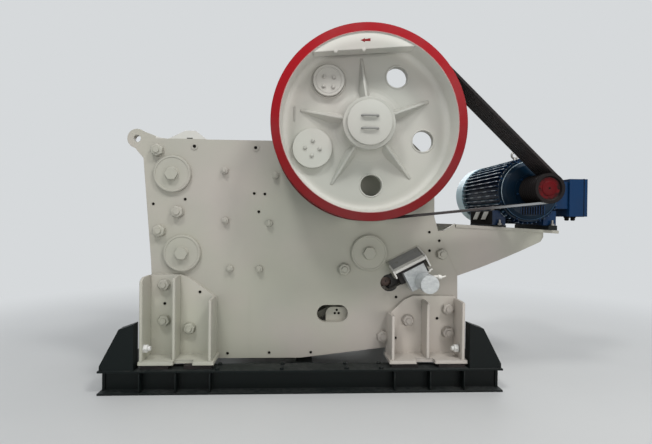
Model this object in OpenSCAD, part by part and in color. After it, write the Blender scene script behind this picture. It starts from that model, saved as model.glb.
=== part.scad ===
// Single toggle jaw crusher on its steel skid, with a belt drive and a motor on the rear of the frame.
// Millimetres. X runs from the feed end (-) to the motor end (+), Y across the machine with the
// drive side at -Y, Z up from the underside of the skid. The crusher stands on the deck height deck_z,
// and every height below is measured from there unless a comment says otherwise.

/* [Frame] */
// Clear width between the two side plates
frame_inner_w = 1160; // [1100:10:1240]
// Thickness of a side plate
plate_t = 70; // [50:5:90]
// Height of the side plates above the feet
plate_top_h = 1947; // [1900:1:1990]
// Clearance from the foot level down to the bottom edge of the side plates
plate_drop = 21; // [10:1:30]
// Radius of the lifting eye's rounded end
eye_r = 86; // [75:1:95]
// Radius of the hole in a lifting eye
eye_hole_r = 32; // [25:1:40]
// Radius of the caps over the frame pins
pin_cap_r = 165; // [140:5:175]
// Thickness of the caps over the frame pins
pin_cap_t = 30; // [20:1:40]
// Radius over the corners of a frame pin's hexagon head
pin_head_r = 58; // [50:1:65]
// Height of a frame pin's head above its cap
pin_head_t = 40; // [30:1:50]
// Length of the window beside the toggle
window_w = 283; // [260:1:300]
// Height of the window beside the toggle
window_h = 158; // [140:1:170]
// Thickness of the walls of the end frames
end_wall_t = 70; // [50:5:90]
// Thickness of the ribs of the end frames
end_rib_t = 40; // [30:1:50]
// Number of ribs across an end frame
end_rib_n = 4; // [3:1:5]
// Depth of the rear end frame behind the wedges
rear_frame_d = 230; // [200:5:260]

/* [Crushing chamber] */
// Gap between the jaw plates at the top, measured at the tooth crests
gape = 800; // [760:10:840]
// Lean of the fixed jaw from the vertical
fixed_lean = 5.5; // [4:0.5:7]
// Lean of the swing jaw from the vertical
swing_lean = 17; // [16:0.5:18]
// Height of the top of the jaw plates
jaw_top_h = 1897; // [1850:1:1940]
// Height of the lower end of the jaw plates
jaw_bottom_h = 217; // [190:1:240]
// Clearance between a jaw plate and the cheek plate beside it
jaw_side_gap = 16; // [8:1:24]
// Thickness of a jaw plate with its teeth
jaw_t = 110; // [90:5:130]
// Depth of the teeth
tooth_d = 42; // [30:1:50]
// Number of teeth across a jaw plate
tooth_n = 14; // [10:1:16]
// Thickness of the cheek plates
cheek_t = 32; // [20:1:40]
// Length of a jaw plate's upper end that its clamp takes up
clamp_h = 60; // [50:1:80]

/* [Shaft and wheels] */
// Distance of the shaft axis behind the middle of the skid and drive
shaft_x = 52; // [20:1:80]
// Height of the shaft axis
shaft_h = 2035; // [2020:1:2060]
// Throw of the eccentric
throw_e = 15; // [10:1:18]
// Radius of the eccentric journal
ecc_r = 180; // [160:5:200]
// Radius of the main bearing journals
journal_r = 140; // [120:5:150]
// Radius of the shaft ends that carry the wheels
shaft_end_r = 110; // [90:5:115]
// Radius of a bearing housing
housing_r = 310; // [290:5:330]
// Reach of a bearing housing's feet along the frame beyond its round body
housing_foot_w = 130; // [110:5:150]
// Radius of a bearing cover
cover_r = 250; // [235:5:265]
// Outside radius of the wheels
wheel_r = 805; // [780:5:820]
// Width of the wheel rims
wheel_w = 380; // [360:5:400]
// Radial thickness of the rim at its face
rim_t = 75; // [65:1:85]
// Gap between a side plate and a wheel
wheel_gap = 120; // [110:1:140]
// Depth of the web below the outer face of the rim
web_depth = 220; // [200:5:230]
// Thickness of the web
web_t = 60; // [45:1:70]
// Radius of the hub
hub_r = 218; // [200:1:230]
// Distance of the hub's outer end below the face of the rim
hub_depth = 40; // [30:1:60]
// Radius of the circle that the web holes lie on
web_hole_pcd_r = 502; // [480:1:510]
// Radius of a web hole
web_hole_r = 90; // [75:1:95]
// Radius of the fillet between the web and the rim
web_fillet_r = 48; // [40:1:50]
// Distance of the counterweight's straight edge from the shaft axis
weight_chord = 590; // [550:1:620]
// Depth of the counterweight
weight_d = 120; // [90:5:150]
// Radius of the hub caps
hub_cap_r = 185; // [170:1:200]
// Thickness of the hub caps
hub_cap_t = 34; // [25:1:40]
// Length of the grab handles on the hub caps
handle_len = 150; // [130:5:170]
// Reach of the grab handles
handle_reach = 30; // [25:1:40]
// Thickness of the balance discs
balance_t = 46; // [30:1:60]

/* [Belt drive] */
// Number of V-belts
belt_n = 8; // [6:1:8]
// Distance from one belt to the next
belt_pitch = 37; // [36:1:39]
// Width of a belt over its outer side
belt_w = 32; // [28:1:34]
// Thickness of a belt
belt_t = 19; // [16:1:22]
// Radius of the motor pulley
pulley_r = 128; // [120:1:150]
// Distance from the face of the drive wheel to the first belt
belt_edge = 26; // [20:1:40]
// Distance from the shaft axis to the motor axis along the machine
motor_dx = 1518; // [1490:1:1540]
// Height of the motor axis
motor_h = 1519; // [1510:1:1560]

/* [Motor] */
// Height of the motor axis above its feet
motor_axis_h = 315; // [300:5:330]
// Radius of the motor housing at the tips of the fins
motor_fin_r = 305; // [295:1:308]
// Radius of the motor housing under the fins
motor_core_r = 265; // [250:1:272]
// Length of the finned housing
motor_len = 900; // [840:10:940]
// Number of cooling fins
fin_n = 44; // [36:4:48]
// Thickness of a fin
fin_t = 7; // [5:0.5:8]
// Radius of the end shield
shield_r = 266; // [255:1:280]
// Radius of the rim by which the end shield is bolted to the housing
shield_rim_r = 284; // [270:1:300]
// Length of the end shield
shield_len = 60; // [45:1:70]
// Radius of the bearing cover on the end shield
shield_cover_r = 150; // [130:5:170]
// Radius of the motor shaft
motor_shaft_r = 50; // [40:1:60]
// Length of the fan cowl
cowl_len = 230; // [200:5:260]
// Reach of the terminal box beyond the motor axis
box_reach = 600; // [560:5:620]
// Height of the terminal box
box_h = 350; // [320:5:380]
// Width of the terminal box along the motor
box_w = 340; // [300:5:380]
// Depth of the terminal box, without the neck that carries it
box_depth = 172; // [150:1:200]
// Width of a motor foot
motor_foot_w = 120; // [100:5:140]
// Length of a motor foot
motor_foot_len = 580; // [540:5:620]
// Distance from the motor axis to the outer edge of a foot
motor_foot_x = 300; // [285:1:315]

/* [Motor bracket] */
// Slope of the motor platform, down towards its free end
platform_slope = 3; // [2:0.5:3]
// Thickness of the motor platform
platform_t = 28; // [20:1:30]
// Length of the motor platform
platform_len = 980; // [960:5:1000]
// Distance from the front end of the motor platform to the motor axis
platform_lead = 638; // [600:1:680]
// Thickness of the bracket's two gussets
gusset_t = 30; // [20:1:40]
// Depth of a gusset at its free end
gusset_tip_h = 41; // [30:1:60]
// Height of the slide rails under the motor axis
rail_h = 30; // [24:1:40]
// Width of a slide rail
rail_w = 80; // [60:5:90]
// Length of the slide rails across the machine
rail_len = 700; // [640:10:760]

/* [Swing jaw and toggle] */
// Radius of the swing jaw's bearing barrel
barrel_r = 330; // [300:5:335]
// Thickness of the wall behind the swing jaw plate
swing_wall_t = 80; // [60:5:100]
// Thickness of the swing jaw's ribs
swing_rib_t = 50; // [40:5:60]
// Depth of the swing jaw's ribs behind its wall
swing_rib_d = 310; // [280:5:340]
// Angle of the toggle plate above the horizontal
toggle_angle = 27; // [26:0.5:28]
// Thickness of the toggle plate
toggle_t = 60; // [45:1:70]
// Clearance between the toggle plate and each side plate
toggle_side_gap = 50; // [40:1:90]
// Radius of the toggle plate's rounded ends
toggle_end_r = 45; // [36:1:50]
// Length of the toggle plate between the centres of its rounded ends
toggle_len = 866; // [850:1:880]
// Least clearance between the toggle plate and the moving swing jaw seat
toggle_clear = 6; // [5:1:12]
// Radius of the tension rod
rod_r = 26; // [20:1:32]
// Radius of the tension rod's spring
spring_r = 70; // [60:1:80]
// Length of the tension rod's spring
spring_len = 200; // [170:5:240]

/* [Wedge adjuster] */
// Width of the adjuster slot in a side plate
slot_w = 136; // [120:2:150]
// Length of the adjuster slot between the centres of its round ends
slot_len = 240; // [220:5:260]
// Thickness of a wedge at its thick end
wedge_t = 110; // [90:2:114]
// Thickness of a wedge at its thin end
wedge_thin = 30; // [20:1:40]
// Thickness of the block between the toggle and the wedges
block_t = 100; // [80:5:120]
// Length of a bracket's shelf along the toggle line
shelf_len = 333; // [310:1:350]
// Reach of a bracket beyond the side plate
shelf_reach = 150; // [130:5:170]
// Thickness of a bracket's shelf at its front edge
shelf_t = 24; // [20:1:30]
// Rise of a bracket's sloping roof from its front edge to the side plate
roof_rise = 82; // [60:1:100]
// Thickness of the lugs at the ends of a bracket
bracket_lug_t = 16; // [12:1:20]
// Width of the square block that carries an adjusting cylinder
adj_block_w = 200; // [180:5:220]
// Radius of an adjusting cylinder
adj_cyl_r = 79; // [60:1:80]
// Length of an adjusting cylinder outside its block
adj_cyl_len = 210; // [180:5:230]

/* [Feet and skid] */
// Reach of the feet beyond the side plates
foot_reach = 286; // [260:2:286]
// Thickness of the feet's base flanges
foot_base_t = 30; // [20:1:40]
// Thickness of the feet's ribs
foot_rib_t = 28; // [20:1:36]
// Thickness of the foot plate against the side plate
foot_plate_t = 36; // [25:1:45]
// Length of the front feet
front_foot_len = 631; // [600:1:650]
// Height of the front feet
front_foot_h = 750; // [700:5:800]
// Length of the rear feet
rear_foot_len = 683; // [650:1:700]
// Height of the rear feet
rear_foot_h = 560; // [520:5:600]
// Thickness of the rubber mounts
mount_t = 33; // [25:1:40]
// Length of a rubber mount along the skid
mount_len = 230; // [200:5:250]
// Width of a rubber mount across the skid
mount_w = 140; // [120:5:160]
// Height of the skid beams
beam_h = 200; // [180:5:220]
// Width of the skid beams
beam_w = 200; // [180:5:220]
// Flange thickness of the skid beams
beam_flange_t = 15; // [12:1:20]
// Web thickness of the skid beams
beam_web_t = 12; // [8:1:16]
// Width of a cross beam
cross_w = 150; // [130:5:180]
// Height of the end stops above the skid
stop_h = 386; // [340:1:400]
// Length of an end stop
stop_len = 254; // [230:1:270]
// Thickness of the end stops
stop_t = 120; // [100:5:140]

/* [Hidden] */
$fn = 96;

// Colours of the finished machine
paint = [0.74, 0.73, 0.70];
rim_red = [0.70, 0.12, 0.14];
raw_steel = [0.45, 0.45, 0.46];
jaw_steel = [0.30, 0.30, 0.31];
black_paint = [0.08, 0.10, 0.11];
motor_blue = [0.07, 0.22, 0.42];
rubber_black = [0.05, 0.05, 0.05];

// Running clearance between a shaft and its bore, the play between pieces that only touch,
// and how far a welded rib or a cutting tool reaches past the surface it meets
fit = 0.05;
touch = 0.3;
weld_in = 10;
past = 1;

// Levels and widths
deck_z = beam_h + mount_t;
plate_in_y = frame_inner_w / 2;
plate_out_y = plate_in_y + plate_t;
wheel_in_y = plate_out_y + wheel_gap;
wheel_out_y = wheel_in_y + wheel_w;
foot_out_y = plate_out_y + foot_reach;
beam_overhang = 40;
beam_y = foot_out_y - beam_w / 2 + beam_overhang;

// Fixed and swing jaw lines, through the tooth crests at the top of the plates
fixed_top_x = -1380;
swing_top_x = fixed_top_x + gape;
jaw_w = frame_inner_w - 2 * (cheek_t + jaw_side_gap);
jaw_drop = jaw_top_h - jaw_bottom_h;
plate_short = 20;
clamp_back = 8;
fixed_len = jaw_drop / cos(fixed_lean) - plate_short;
swing_len = jaw_drop / cos(swing_lean) - plate_short;
function fixed_x(h) = fixed_top_x + (jaw_top_h - h) * tan(fixed_lean);
function swing_x(h) = swing_top_x - (jaw_top_h - h) * tan(swing_lean);
swing_foot_at = [swing_x(jaw_bottom_h), jaw_bottom_h];
function swing_point(out, up) = swing_foot_at
    + out * [cos(swing_lean), -sin(swing_lean)] + up * [sin(swing_lean), cos(swing_lean)];

// Toggle line: from the swing jaw's seat up to the wedges
toggle_w = frame_inner_w - 2 * toggle_side_gap;
toggle_front = [-470, 270];
function toggle_point(along, across) = toggle_front
    + along * [cos(toggle_angle), sin(toggle_angle)]
    + across * [-sin(toggle_angle), cos(toggle_angle)];
toggle_open = throw_e * (1 + sin(toggle_angle)) + toggle_clear;
block_back = toggle_len + block_t;
wedge_reach = plate_out_y + 60;
wedge_back = block_back + 2 * touch + wedge_t + wedge_thin;
shelf_from = toggle_len + slot_w / 2;
shelf_to = shelf_from + shelf_len;
rod_across = -225;
spring_seat = wedge_back + rear_frame_d - 5;

// Outline of a side plate, from the lifting eye round the front, the bottom and the rear
eye_at = [-1963, plate_top_h - 2];
lug_rise = 76;
rear_corner = [953, 524];
gusset_foot = [950, 737];
gusset_mid = [780, 1097];
gusset_top = [728, 1272];
plate_outline = [
    [-1763, plate_top_h + 10], eye_at + [0, eye_r], eye_at - [eye_r, 0], eye_at + [26, -138],
    [-1907, plate_top_h - 175], [-1835, 862], [-1790, -plate_drop], [-494, -plate_drop], [303, 72],
    [rear_corner[0], 150], rear_corner, gusset_foot, gusset_mid, gusset_top,
    [725, plate_top_h - 197], [520, plate_top_h], [-1350, plate_top_h],
    [-1448, plate_top_h + lug_rise], [-1538, plate_top_h + lug_rise], [-1693, plate_top_h]
];
pin_cap_at = [[-1648, plate_top_h - 314], [-1558, 926], [125, 938]];
window_at = [-204, 381];

// Wheels: levels above their inner faces, and the angles of ribs and web holes
web_top = wheel_w - web_depth;
hub_top = wheel_w - hub_depth;
rim_in_r = wheel_r - rim_t;
pattern_turn = 5;
rib_angles = [for (i = [0:4]) pattern_turn + 90 + i * 72];
hole_angles = [for (i = [0:4]) pattern_turn + 54 + i * 72];
balance_r = [132, 166];

// Where the belts run: radii are to the outer side of a belt
belt_gap = 0.4;
belt_sink = 2;
groove_room = 4;
belt_half_angle = 19;
belt_big_r = wheel_r - belt_sink;
belt_small_r = pulley_r - belt_sink;
motor_x = shaft_x + motor_dx;
belt_dx = motor_x - shaft_x;
belt_dz = motor_h - shaft_h;
belt_span = norm([belt_dx, belt_dz]);
belt_tilt = atan2(belt_dz, belt_dx);
belt_wrap = asin((belt_big_r - belt_small_r) / belt_span);
belt_free = belt_span * cos(belt_wrap);
belt_bottom_w = belt_w - 2 * belt_t * tan(belt_half_angle);
groove_w = belt_w + 2 * belt_gap + 2 * belt_sink * tan(belt_half_angle);
groove_d = belt_sink + belt_t + groove_room;
function belt_y(i) = -wheel_out_y + belt_edge + belt_w / 2 + i * belt_pitch;

// Motor places along Y, and the level that its feet and platform lie on
pulley_side = belt_w / 2 + 2.5;
pulley_face_y = belt_y(0) - pulley_side;
pulley_back_y = belt_y(belt_n - 1) + pulley_side;
shield_y = pulley_back_y + 40;
housing_y = shield_y + shield_len;
cowl_y = housing_y + motor_len;
motor_feet_h = motor_h - motor_axis_h;
motor_foot_y = housing_y + shield_len;
platform_x = motor_x - platform_lead;
function platform_h(x) = motor_feet_h - rail_h - (x - motor_x) * tan(platform_slope);

// Places of the feet and of the skid along X: the end stops stand just off the feet
front_foot_x = -1855;
rear_foot_x = 273;
stop_gap = [25, 7];
stop_inset = 36;
stop_room = stop_len + stop_inset;
skid_x = front_foot_x - stop_gap[0] - stop_room;
skid_len = rear_foot_x + rear_foot_len + stop_gap[1] + stop_room - skid_x;

// An outline drawn in X and Z, made solid from y0 to y1
module slab(points, y0, y1) {
    translate([0, y1, 0]) rotate([90, 0, 0]) linear_extrude(y1 - y0) polygon(points);
}

// A round bar along Y
module y_bar(r, y0, y1, at = [0, 0]) {
    translate([at[0], y1, at[1]]) rotate([90, 0, 0]) cylinder(r = r, h = y1 - y0);
}

// A block given by its lowest and highest corners
module block(low, high) {
    translate(low) cube(high - low);
}

// The same piece on the drive side and on the far side
module both_sides() {
    children();
    mirror([0, 1, 0]) children();
}

module on_deck() {
    translate([0, 0, deck_z]) children();
}

// The frame of the toggle plate: origin on its front end's axis, +X along the toggle line
module on_toggle() {
    translate([toggle_front[0], 0, toggle_front[1]]) rotate([0, -toggle_angle, 0]) children();
}

// Side plates
module slot_cut(y0, y1) {
    on_toggle() {
        y_bar(slot_w / 2, y0, y1, [toggle_len, 0]);
        y_bar(slot_w / 2, y0, y1, [toggle_len + slot_len, 0]);
        block([toggle_len, y0, -slot_w / 2], [toggle_len + slot_len, y1, slot_w / 2]);
    }
}

module window_cut(y0, y1) {
    half = (window_w - window_h) / 2;
    y_bar(window_h / 2, y0, y1, window_at - [half, 0]);
    y_bar(window_h / 2, y0, y1, window_at + [half, 0]);
    block([window_at[0] - half, y0, window_at[1] - window_h / 2],
          [window_at[0] + half, y1, window_at[1] + window_h / 2]);
}

module side_plate() {
    low = -plate_out_y;
    high = -plate_in_y;
    color(paint) on_deck() difference() {
        union() {
            slab(plate_outline, low, high);
            y_bar(eye_r, low, high, eye_at);
        }
        y_bar(eye_hole_r, low - past, high + past, eye_at);
        y_bar(housing_r + touch, low - past, high + past, [shaft_x, shaft_h]);
        slot_cut(low - past, high + past);
        window_cut(low - past, high + past);
    }
}

// Caps over the frame pins, each with the head of its pin
module frame_pin_caps() {
    color(paint) on_deck() both_sides() for (at = pin_cap_at) {
        y_bar(pin_cap_r, -plate_out_y - pin_cap_t, -plate_out_y, at);
        translate([at[0], -plate_out_y - pin_cap_t, at[1]]) rotate([90, 0, 0])
            cylinder(r = pin_head_r, h = pin_head_t, $fn = 6);
    }
}

// The frame of a jaw: origin on the tooth crests at the foot of its plate, +Z up along the teeth
module on_fixed_jaw() {
    on_deck() translate([fixed_x(jaw_bottom_h), 0, jaw_bottom_h]) rotate([0, -fixed_lean, 0]) children();
}

module on_swing_jaw() {
    on_deck() translate([swing_foot_at[0], 0, swing_foot_at[1]]) rotate([0, swing_lean, 0]) children();
}

// Front end frame: a wall behind the fixed jaw, a ledge under it, and shelves and ribs in front
module front_frame() {
    back = jaw_t + touch;
    wall = back + end_wall_t;
    ledge_t = 70;
    ledge_lip = 30;
    top_drop = 90;
    bottom_drop = 80;
    reach = 430;
    belly = 110;
    top = jaw_top_h - top_drop;
    bottom = jaw_bottom_h - bottom_drop;
    front_top_x = fixed_top_x - reach;
    shelf_n = 3;
    rib_pitch = (frame_inner_w - end_rib_t) / (end_rib_n - 1);
    shelf_pitch = (top - bottom - end_rib_t) / (shelf_n - 1);
    function wall_x(h) = fixed_x(h) - (back + end_wall_t / 2) / cos(fixed_lean);
    function front_x(h) = front_top_x + belly * pow(1 - (h - bottom) / (top - bottom), 2);
    color(paint) {
        on_fixed_jaw() {
            block([-wall, -plate_in_y, -ledge_t], [-back, plate_in_y, fixed_len]);
            block([-wall, -plate_in_y, -ledge_t], [-ledge_lip, plate_in_y, -touch]);
        }
        on_deck() for (i = [0:end_rib_n - 1]) {
            y = -plate_in_y + i * rib_pitch;
            slab(concat([[wall_x(top), top], [wall_x(bottom), bottom]],
                        [for (k = [0:4]) let (h = bottom + k * (top - bottom) / 4) [front_x(h), h]]),
                 y, y + end_rib_t);
        }
        on_deck() for (i = [0:shelf_n - 1]) {
            h = bottom + i * shelf_pitch;
            block([front_x(h) + end_rib_t, -plate_in_y, h], [wall_x(h), plate_in_y, h + end_rib_t]);
        }
    }
}

// Jaw plates: vertical teeth across the width of a slab
function tooth_profile(n, w, t, d) = concat(
    [[-w / 2, 0], [w / 2, 0], [w / 2, t - d / 2]],
    [for (i = [0:n - 1], k = [0:3])
        [w / 2 - (i + [0.2, 0.35, 0.65, 0.8][k]) * w / n, t - d * [1, 0, 0, 1][k]]],
    [[-w / 2, t - d / 2]]
);

// A jaw plate lies on its back in X and Y with the teeth up and its length along +Z
module jaw_slab(len) {
    rotate([0, 0, 90]) linear_extrude(len) mirror([0, 1, 0])
        polygon(tooth_profile(tooth_n, jaw_w, jaw_t, tooth_d));
}

module fixed_jaw_plate() {
    color(jaw_steel) on_fixed_jaw() translate([-jaw_t, 0, 0]) jaw_slab(fixed_len);
}

// The clamps stand on the upper ends of the jaw plates, clear of the teeth's crests
module fixed_jaw_clamp() {
    color(paint) on_fixed_jaw()
        block([-jaw_t - end_wall_t, -jaw_w / 2, fixed_len + touch],
              [-tooth_d - clamp_back, jaw_w / 2, fixed_len + clamp_h]);
}

module swing_jaw_plate() {
    color(jaw_steel) on_swing_jaw() translate([jaw_t, 0, 0]) mirror([1, 0, 0]) jaw_slab(swing_len);
}

module swing_jaw_clamp() {
    color(paint) on_swing_jaw()
        block([tooth_d + clamp_back, -jaw_w / 2, swing_len + touch],
              [jaw_t + swing_wall_t - weld_in, jaw_w / 2, swing_len + clamp_h]);
}

// Cheek plates: an upper and a lower liner on each side of the chamber
module cheek_plates() {
    y0 = -plate_in_y;
    y1 = -plate_in_y + cheek_t;
    split = (jaw_top_h + jaw_bottom_h) / 2 - 57;
    half_gap = 3;
    clear = 6;
    lap = 40;
    top = jaw_top_h - 20;
    bottom = jaw_bottom_h + 60;
    color(jaw_steel) on_deck() {
        for (h = [[bottom, split - half_gap], [split + half_gap, top]])
            slab([[fixed_x(h[0]) + clear, h[0]], [swing_x(h[0]) + lap, h[0]],
                  [swing_x(h[1]) + lap, h[1]], [fixed_x(h[1]) + clear, h[1]]], y0, y1);
    }
}

// Bearing housings, seated in the saddles of the side plates and bolted to their tops by two feet
module bearing_housing() {
    at = [shaft_x, shaft_h];
    inner = plate_in_y + 6;
    outer = wheel_in_y - 25;
    cover_t = 30;
    foot_top = shaft_h - 18;
    foot_in = housing_r - 60;
    foot_out = housing_r + housing_foot_w;
    color(paint) on_deck() difference() {
        union() {
            y_bar(housing_r, -outer + cover_t, -inner, at);
            y_bar(cover_r, -outer, -outer + cover_t + weld_in, at);
            for (x = [[foot_in, foot_out], [-foot_out, -foot_in]])
                block([shaft_x + x[0], -plate_out_y, plate_top_h + touch],
                      [shaft_x + x[1], -inner, foot_top]);
        }
        y_bar(journal_r + fit, -outer - past, -inner + past, at);
    }
}

// Eccentric shaft
module eccentric_shaft() {
    at = [shaft_x, shaft_h];
    ecc_end = plate_in_y - 40;
    journal_end = wheel_in_y - 10;
    end_y = wheel_in_y + hub_top - 2;
    color(raw_steel) on_deck() {
        y_bar(ecc_r, -ecc_end, ecc_end, at - [0, throw_e]);
        y_bar(journal_r, -journal_end, journal_end, at);
        y_bar(shaft_end_r, -end_y, end_y, at);
    }
}

// Wheels are drawn about +Z with the outer face up and then laid over onto the shaft
module wheel_on_shaft() {
    on_deck() translate([shaft_x, -wheel_in_y, shaft_h]) rotate([90, 0, 0]) children();
}

// The profile runs from the hub over the inner side and the rim, then back across the web
module wheel_body(grooves) {
    inner_web = web_top - web_t;
    hub_draft = 20;
    rim_draft = 25;
    rim_fillet = 40;
    hub_flare = 112;
    wall_in = 12;
    wall_r = rim_in_r - wall_in;
    fillet_at = [wall_r - web_fillet_r, web_top + web_fillet_r];
    flare_at = [hub_r + hub_flare, web_top + hub_flare];
    difference() {
        rotate_extrude($fn = 144) polygon(concat(
            [[shaft_end_r + fit, 0], [hub_r, 0], [hub_r + hub_draft, inner_web],
             [rim_in_r - rim_draft - rim_fillet, inner_web],
             [rim_in_r - rim_draft, 0], [wheel_r, 0]],
            grooves,
            [[wheel_r, wheel_w], [rim_in_r, wheel_w]],
            [for (a = [0:15:90]) fillet_at + web_fillet_r * [cos(a), -sin(a)]],
            [for (a = [90:-15:0]) flare_at - hub_flare * [cos(a), sin(a)]],
            [[hub_r, hub_top], [shaft_end_r + fit, hub_top]]
        ));
        for (a = hole_angles)
            rotate([0, 0, a]) translate([web_hole_pcd_r, 0, -past]) cylinder(r = web_hole_r, h = wheel_w);
    }
}

// Five ribs like the points of a star: a crest falls from the hub to the web between two slopes
module wheel_ribs() {
    root_in = 30;
    tip_in = 150;
    root_drop = 50;
    crest = 9;
    side_slope = 0.41;
    tip_h = 4;
    from = hub_r - root_in;
    root_h = hub_top - root_drop - web_top;
    run = rim_in_r - tip_in - from;
    fall = atan((root_h - tip_h) / run);
    deep = 1.3 * root_h;
    foot_w = crest + side_slope * deep;
    for (a = rib_angles) rotate([0, 0, a]) intersection() {
        translate([from / 2, -foot_w, web_top - weld_in]) cube([rim_in_r, 2 * foot_w, 2 * root_h]);
        translate([from, 0, web_top + root_h]) rotate([0, fall, 0]) rotate([90, 0, 90])
            linear_extrude(run / cos(fall))
                polygon([[-foot_w, -deep], [foot_w, -deep], [crest, 0], [-crest, 0]]);
    }
}

// Counterweight: a segment of the dish behind the rim's face, with a straight lower edge
module wheel_weight() {
    inset = 8;
    rotate([0, 0, pattern_turn]) intersection() {
        translate([0, 0, wheel_w - inset - weight_d]) cylinder(r = rim_in_r - inset, h = weight_d);
        translate([-wheel_r, weight_chord, 0]) cube([2 * wheel_r, wheel_r, wheel_w]);
    }
}

function groove_at(r, z, w, d) = [
    [r, z - w / 2], [r - d, z - w / 2 + d * tan(belt_half_angle)],
    [r - d, z + w / 2 - d * tan(belt_half_angle)], [r, z + w / 2]
];

// The grooves are a little wider and deeper than the belts that lie in them
function grooves(r, z0) = [
    for (i = [belt_n - 1:-1:0])
        for (p = groove_at(r, z0 - i * belt_pitch, groove_w, groove_d)) p
];

module drive_wheel() {
    color(paint) wheel_on_shaft() {
        wheel_body(grooves(wheel_r, wheel_w - belt_edge - belt_w / 2));
        wheel_ribs();
        wheel_weight();
    }
}

module fly_wheel() {
    color(paint) mirror([0, 1, 0]) wheel_on_shaft() {
        wheel_body([]);
        wheel_ribs();
        wheel_weight();
    }
}

// End caps over the shaft, each with two grab handles
module hub_caps() {
    bar = 22;
    handle_y = 52;
    color(paint) both_sides() wheel_on_shaft() translate([0, 0, hub_top + touch]) {
        cylinder(r = hub_cap_r, h = hub_cap_t);
        for (side = [-1, 1]) translate([-handle_len / 2, side * handle_y - bar / 2, hub_cap_t]) {
            translate([0, 0, handle_reach - bar]) cube([handle_len, bar, bar]);
            for (x = [0, handle_len - bar]) translate([x, 0, -weld_in]) cube([bar, bar, handle_reach]);
        }
    }
}

// Discs bolted over two of the web holes to balance each wheel
module balance_discs() {
    color(paint) both_sides() wheel_on_shaft() for (k = [0, 1])
        rotate([0, 0, hole_angles[k + 1]]) translate([web_hole_pcd_r, 0, web_top + touch])
            cylinder(r = balance_r[k], h = balance_t);
}

// Swing jaw: a barrel over the shaft, a wall behind the jaw plate, ribs and a foot for the toggle
module swing_jaw() {
    centre = [shaft_x, shaft_h - throw_e];
    barrel_y = plate_in_y - 35;
    half = jaw_w / 2 - 4;
    back = jaw_t + touch;
    mid = back + swing_wall_t / 2;
    rear = back + swing_wall_t + swing_rib_d;
    rib_n = 4;
    rib_inset = 12;
    rib_drop = 52;
    rib_foot = 60;
    shoulder = 972;
    foot_inset = 6;
    rib_pitch = (2 * (half - rib_inset) - swing_rib_t) / (rib_n - 1);
    seat = -toggle_end_r - toggle_open;
    color(paint) difference() {
        union() {
            on_swing_jaw() block([back, -half, -30], [back + swing_wall_t, half, swing_len]);
            on_deck() {
                y_bar(barrel_r, -barrel_y, barrel_y, centre);
                for (i = [0:rib_n - 1]) {
                    y = -half + rib_inset + i * rib_pitch;
                    slab([swing_point(mid, swing_len - rib_drop), swing_point(mid, rib_foot),
                          toggle_point(seat - 90, -20), toggle_point(seat - 70, 100),
                          swing_point(rear, shoulder), centre - [120, barrel_r - 60], centre + [-100, 15],
                          centre + [-260, 35], swing_point(back + swing_wall_t + 40, swing_len - 40)],
                         y, y + swing_rib_t);
                }
                slab([swing_point(mid, 0), toggle_point(seat - 50, -110), toggle_point(seat, -80),
                      toggle_point(seat, 80), toggle_point(seat - 50, 110), swing_point(mid, 340)],
                     -half + foot_inset, half - foot_inset);
            }
        }
        on_deck() y_bar(ecc_r + fit, -barrel_y - past, barrel_y + past, centre);
    }
}

// Toggle plate with rounded ends, and the block that its rear end bears on
module toggle_plate() {
    half = toggle_w / 2;
    step = 5;
    color(raw_steel) on_deck() on_toggle() {
        block([0, -half + step, -toggle_t / 2], [toggle_len, half - step, toggle_t / 2]);
        for (along = [0, toggle_len])
            y_bar(toggle_end_r, -half, half, [along, 0]);
    }
}

module toggle_block() {
    half = plate_in_y - 5;
    half_h = 95;
    color(paint) on_deck() on_toggle() difference() {
        block([toggle_len, -half, -half_h], [block_back, half, half_h]);
        y_bar(toggle_end_r + touch, -half - past, half + past, [toggle_len, 0]);
    }
}

// Two wedges that slide across the machine against each other
module adjusting_wedges() {
    half = slot_w / 2 - 6;
    inner_end = plate_in_y - 20;
    front = block_back + touch;
    back = front + wedge_t + wedge_thin;
    color(raw_steel) on_deck() on_toggle() {
        intersection() {
            block([front, -wedge_reach, -half], [back, inner_end, half]);
            wedge_half(front, -touch / 2, -2 * wedge_t);
        }
        intersection() {
            block([front, -inner_end, -half], [back, wedge_reach, half]);
            wedge_half(front, touch / 2, 4 * wedge_t);
        }
    }
}

// Everything to one side of the slanted plane between the wedges
module wedge_half(front, shift, side) {
    translate([0, 0, -slot_w]) linear_extrude(2 * slot_w)
        polygon([[front + wedge_t + shift, -wedge_reach], [front + wedge_thin + shift, wedge_reach],
                 [front + side, wedge_reach], [front + side, -wedge_reach]]);
}

// Brackets on the side plates that carry the adjusting cylinders: a shelf under a sloping roof,
// between two end lugs that stand a little above it
module wedge_brackets() {
    y0 = -plate_out_y - shelf_reach;
    shelf_low = slot_w / 2;
    lug_rise = 8;
    lug_drop = [44, 80];
    lug_from = [shelf_from, shelf_to - bracket_lug_t];
    color(paint) on_deck() both_sides() on_toggle() {
        translate([shelf_from, 0, 0]) bracket_slice(shelf_len, y0, shelf_low, shelf_low, 0);
        for (i = [0, 1]) translate([lug_from[i], 0, 0])
            bracket_slice(bracket_lug_t, y0, shelf_low - lug_drop[i], shelf_low, lug_rise);
    }
}

// A slice of a bracket along the toggle line: flat underneath and sloping on top
module bracket_slice(len, y0, low, shelf_low, rise) {
    front_top = shelf_low + shelf_t + rise;
    rotate([90, 0, 90]) linear_extrude(len)
        polygon([[y0, low], [-plate_out_y, low], [-plate_out_y, front_top + roof_rise], [y0, front_top]]);
}

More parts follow.
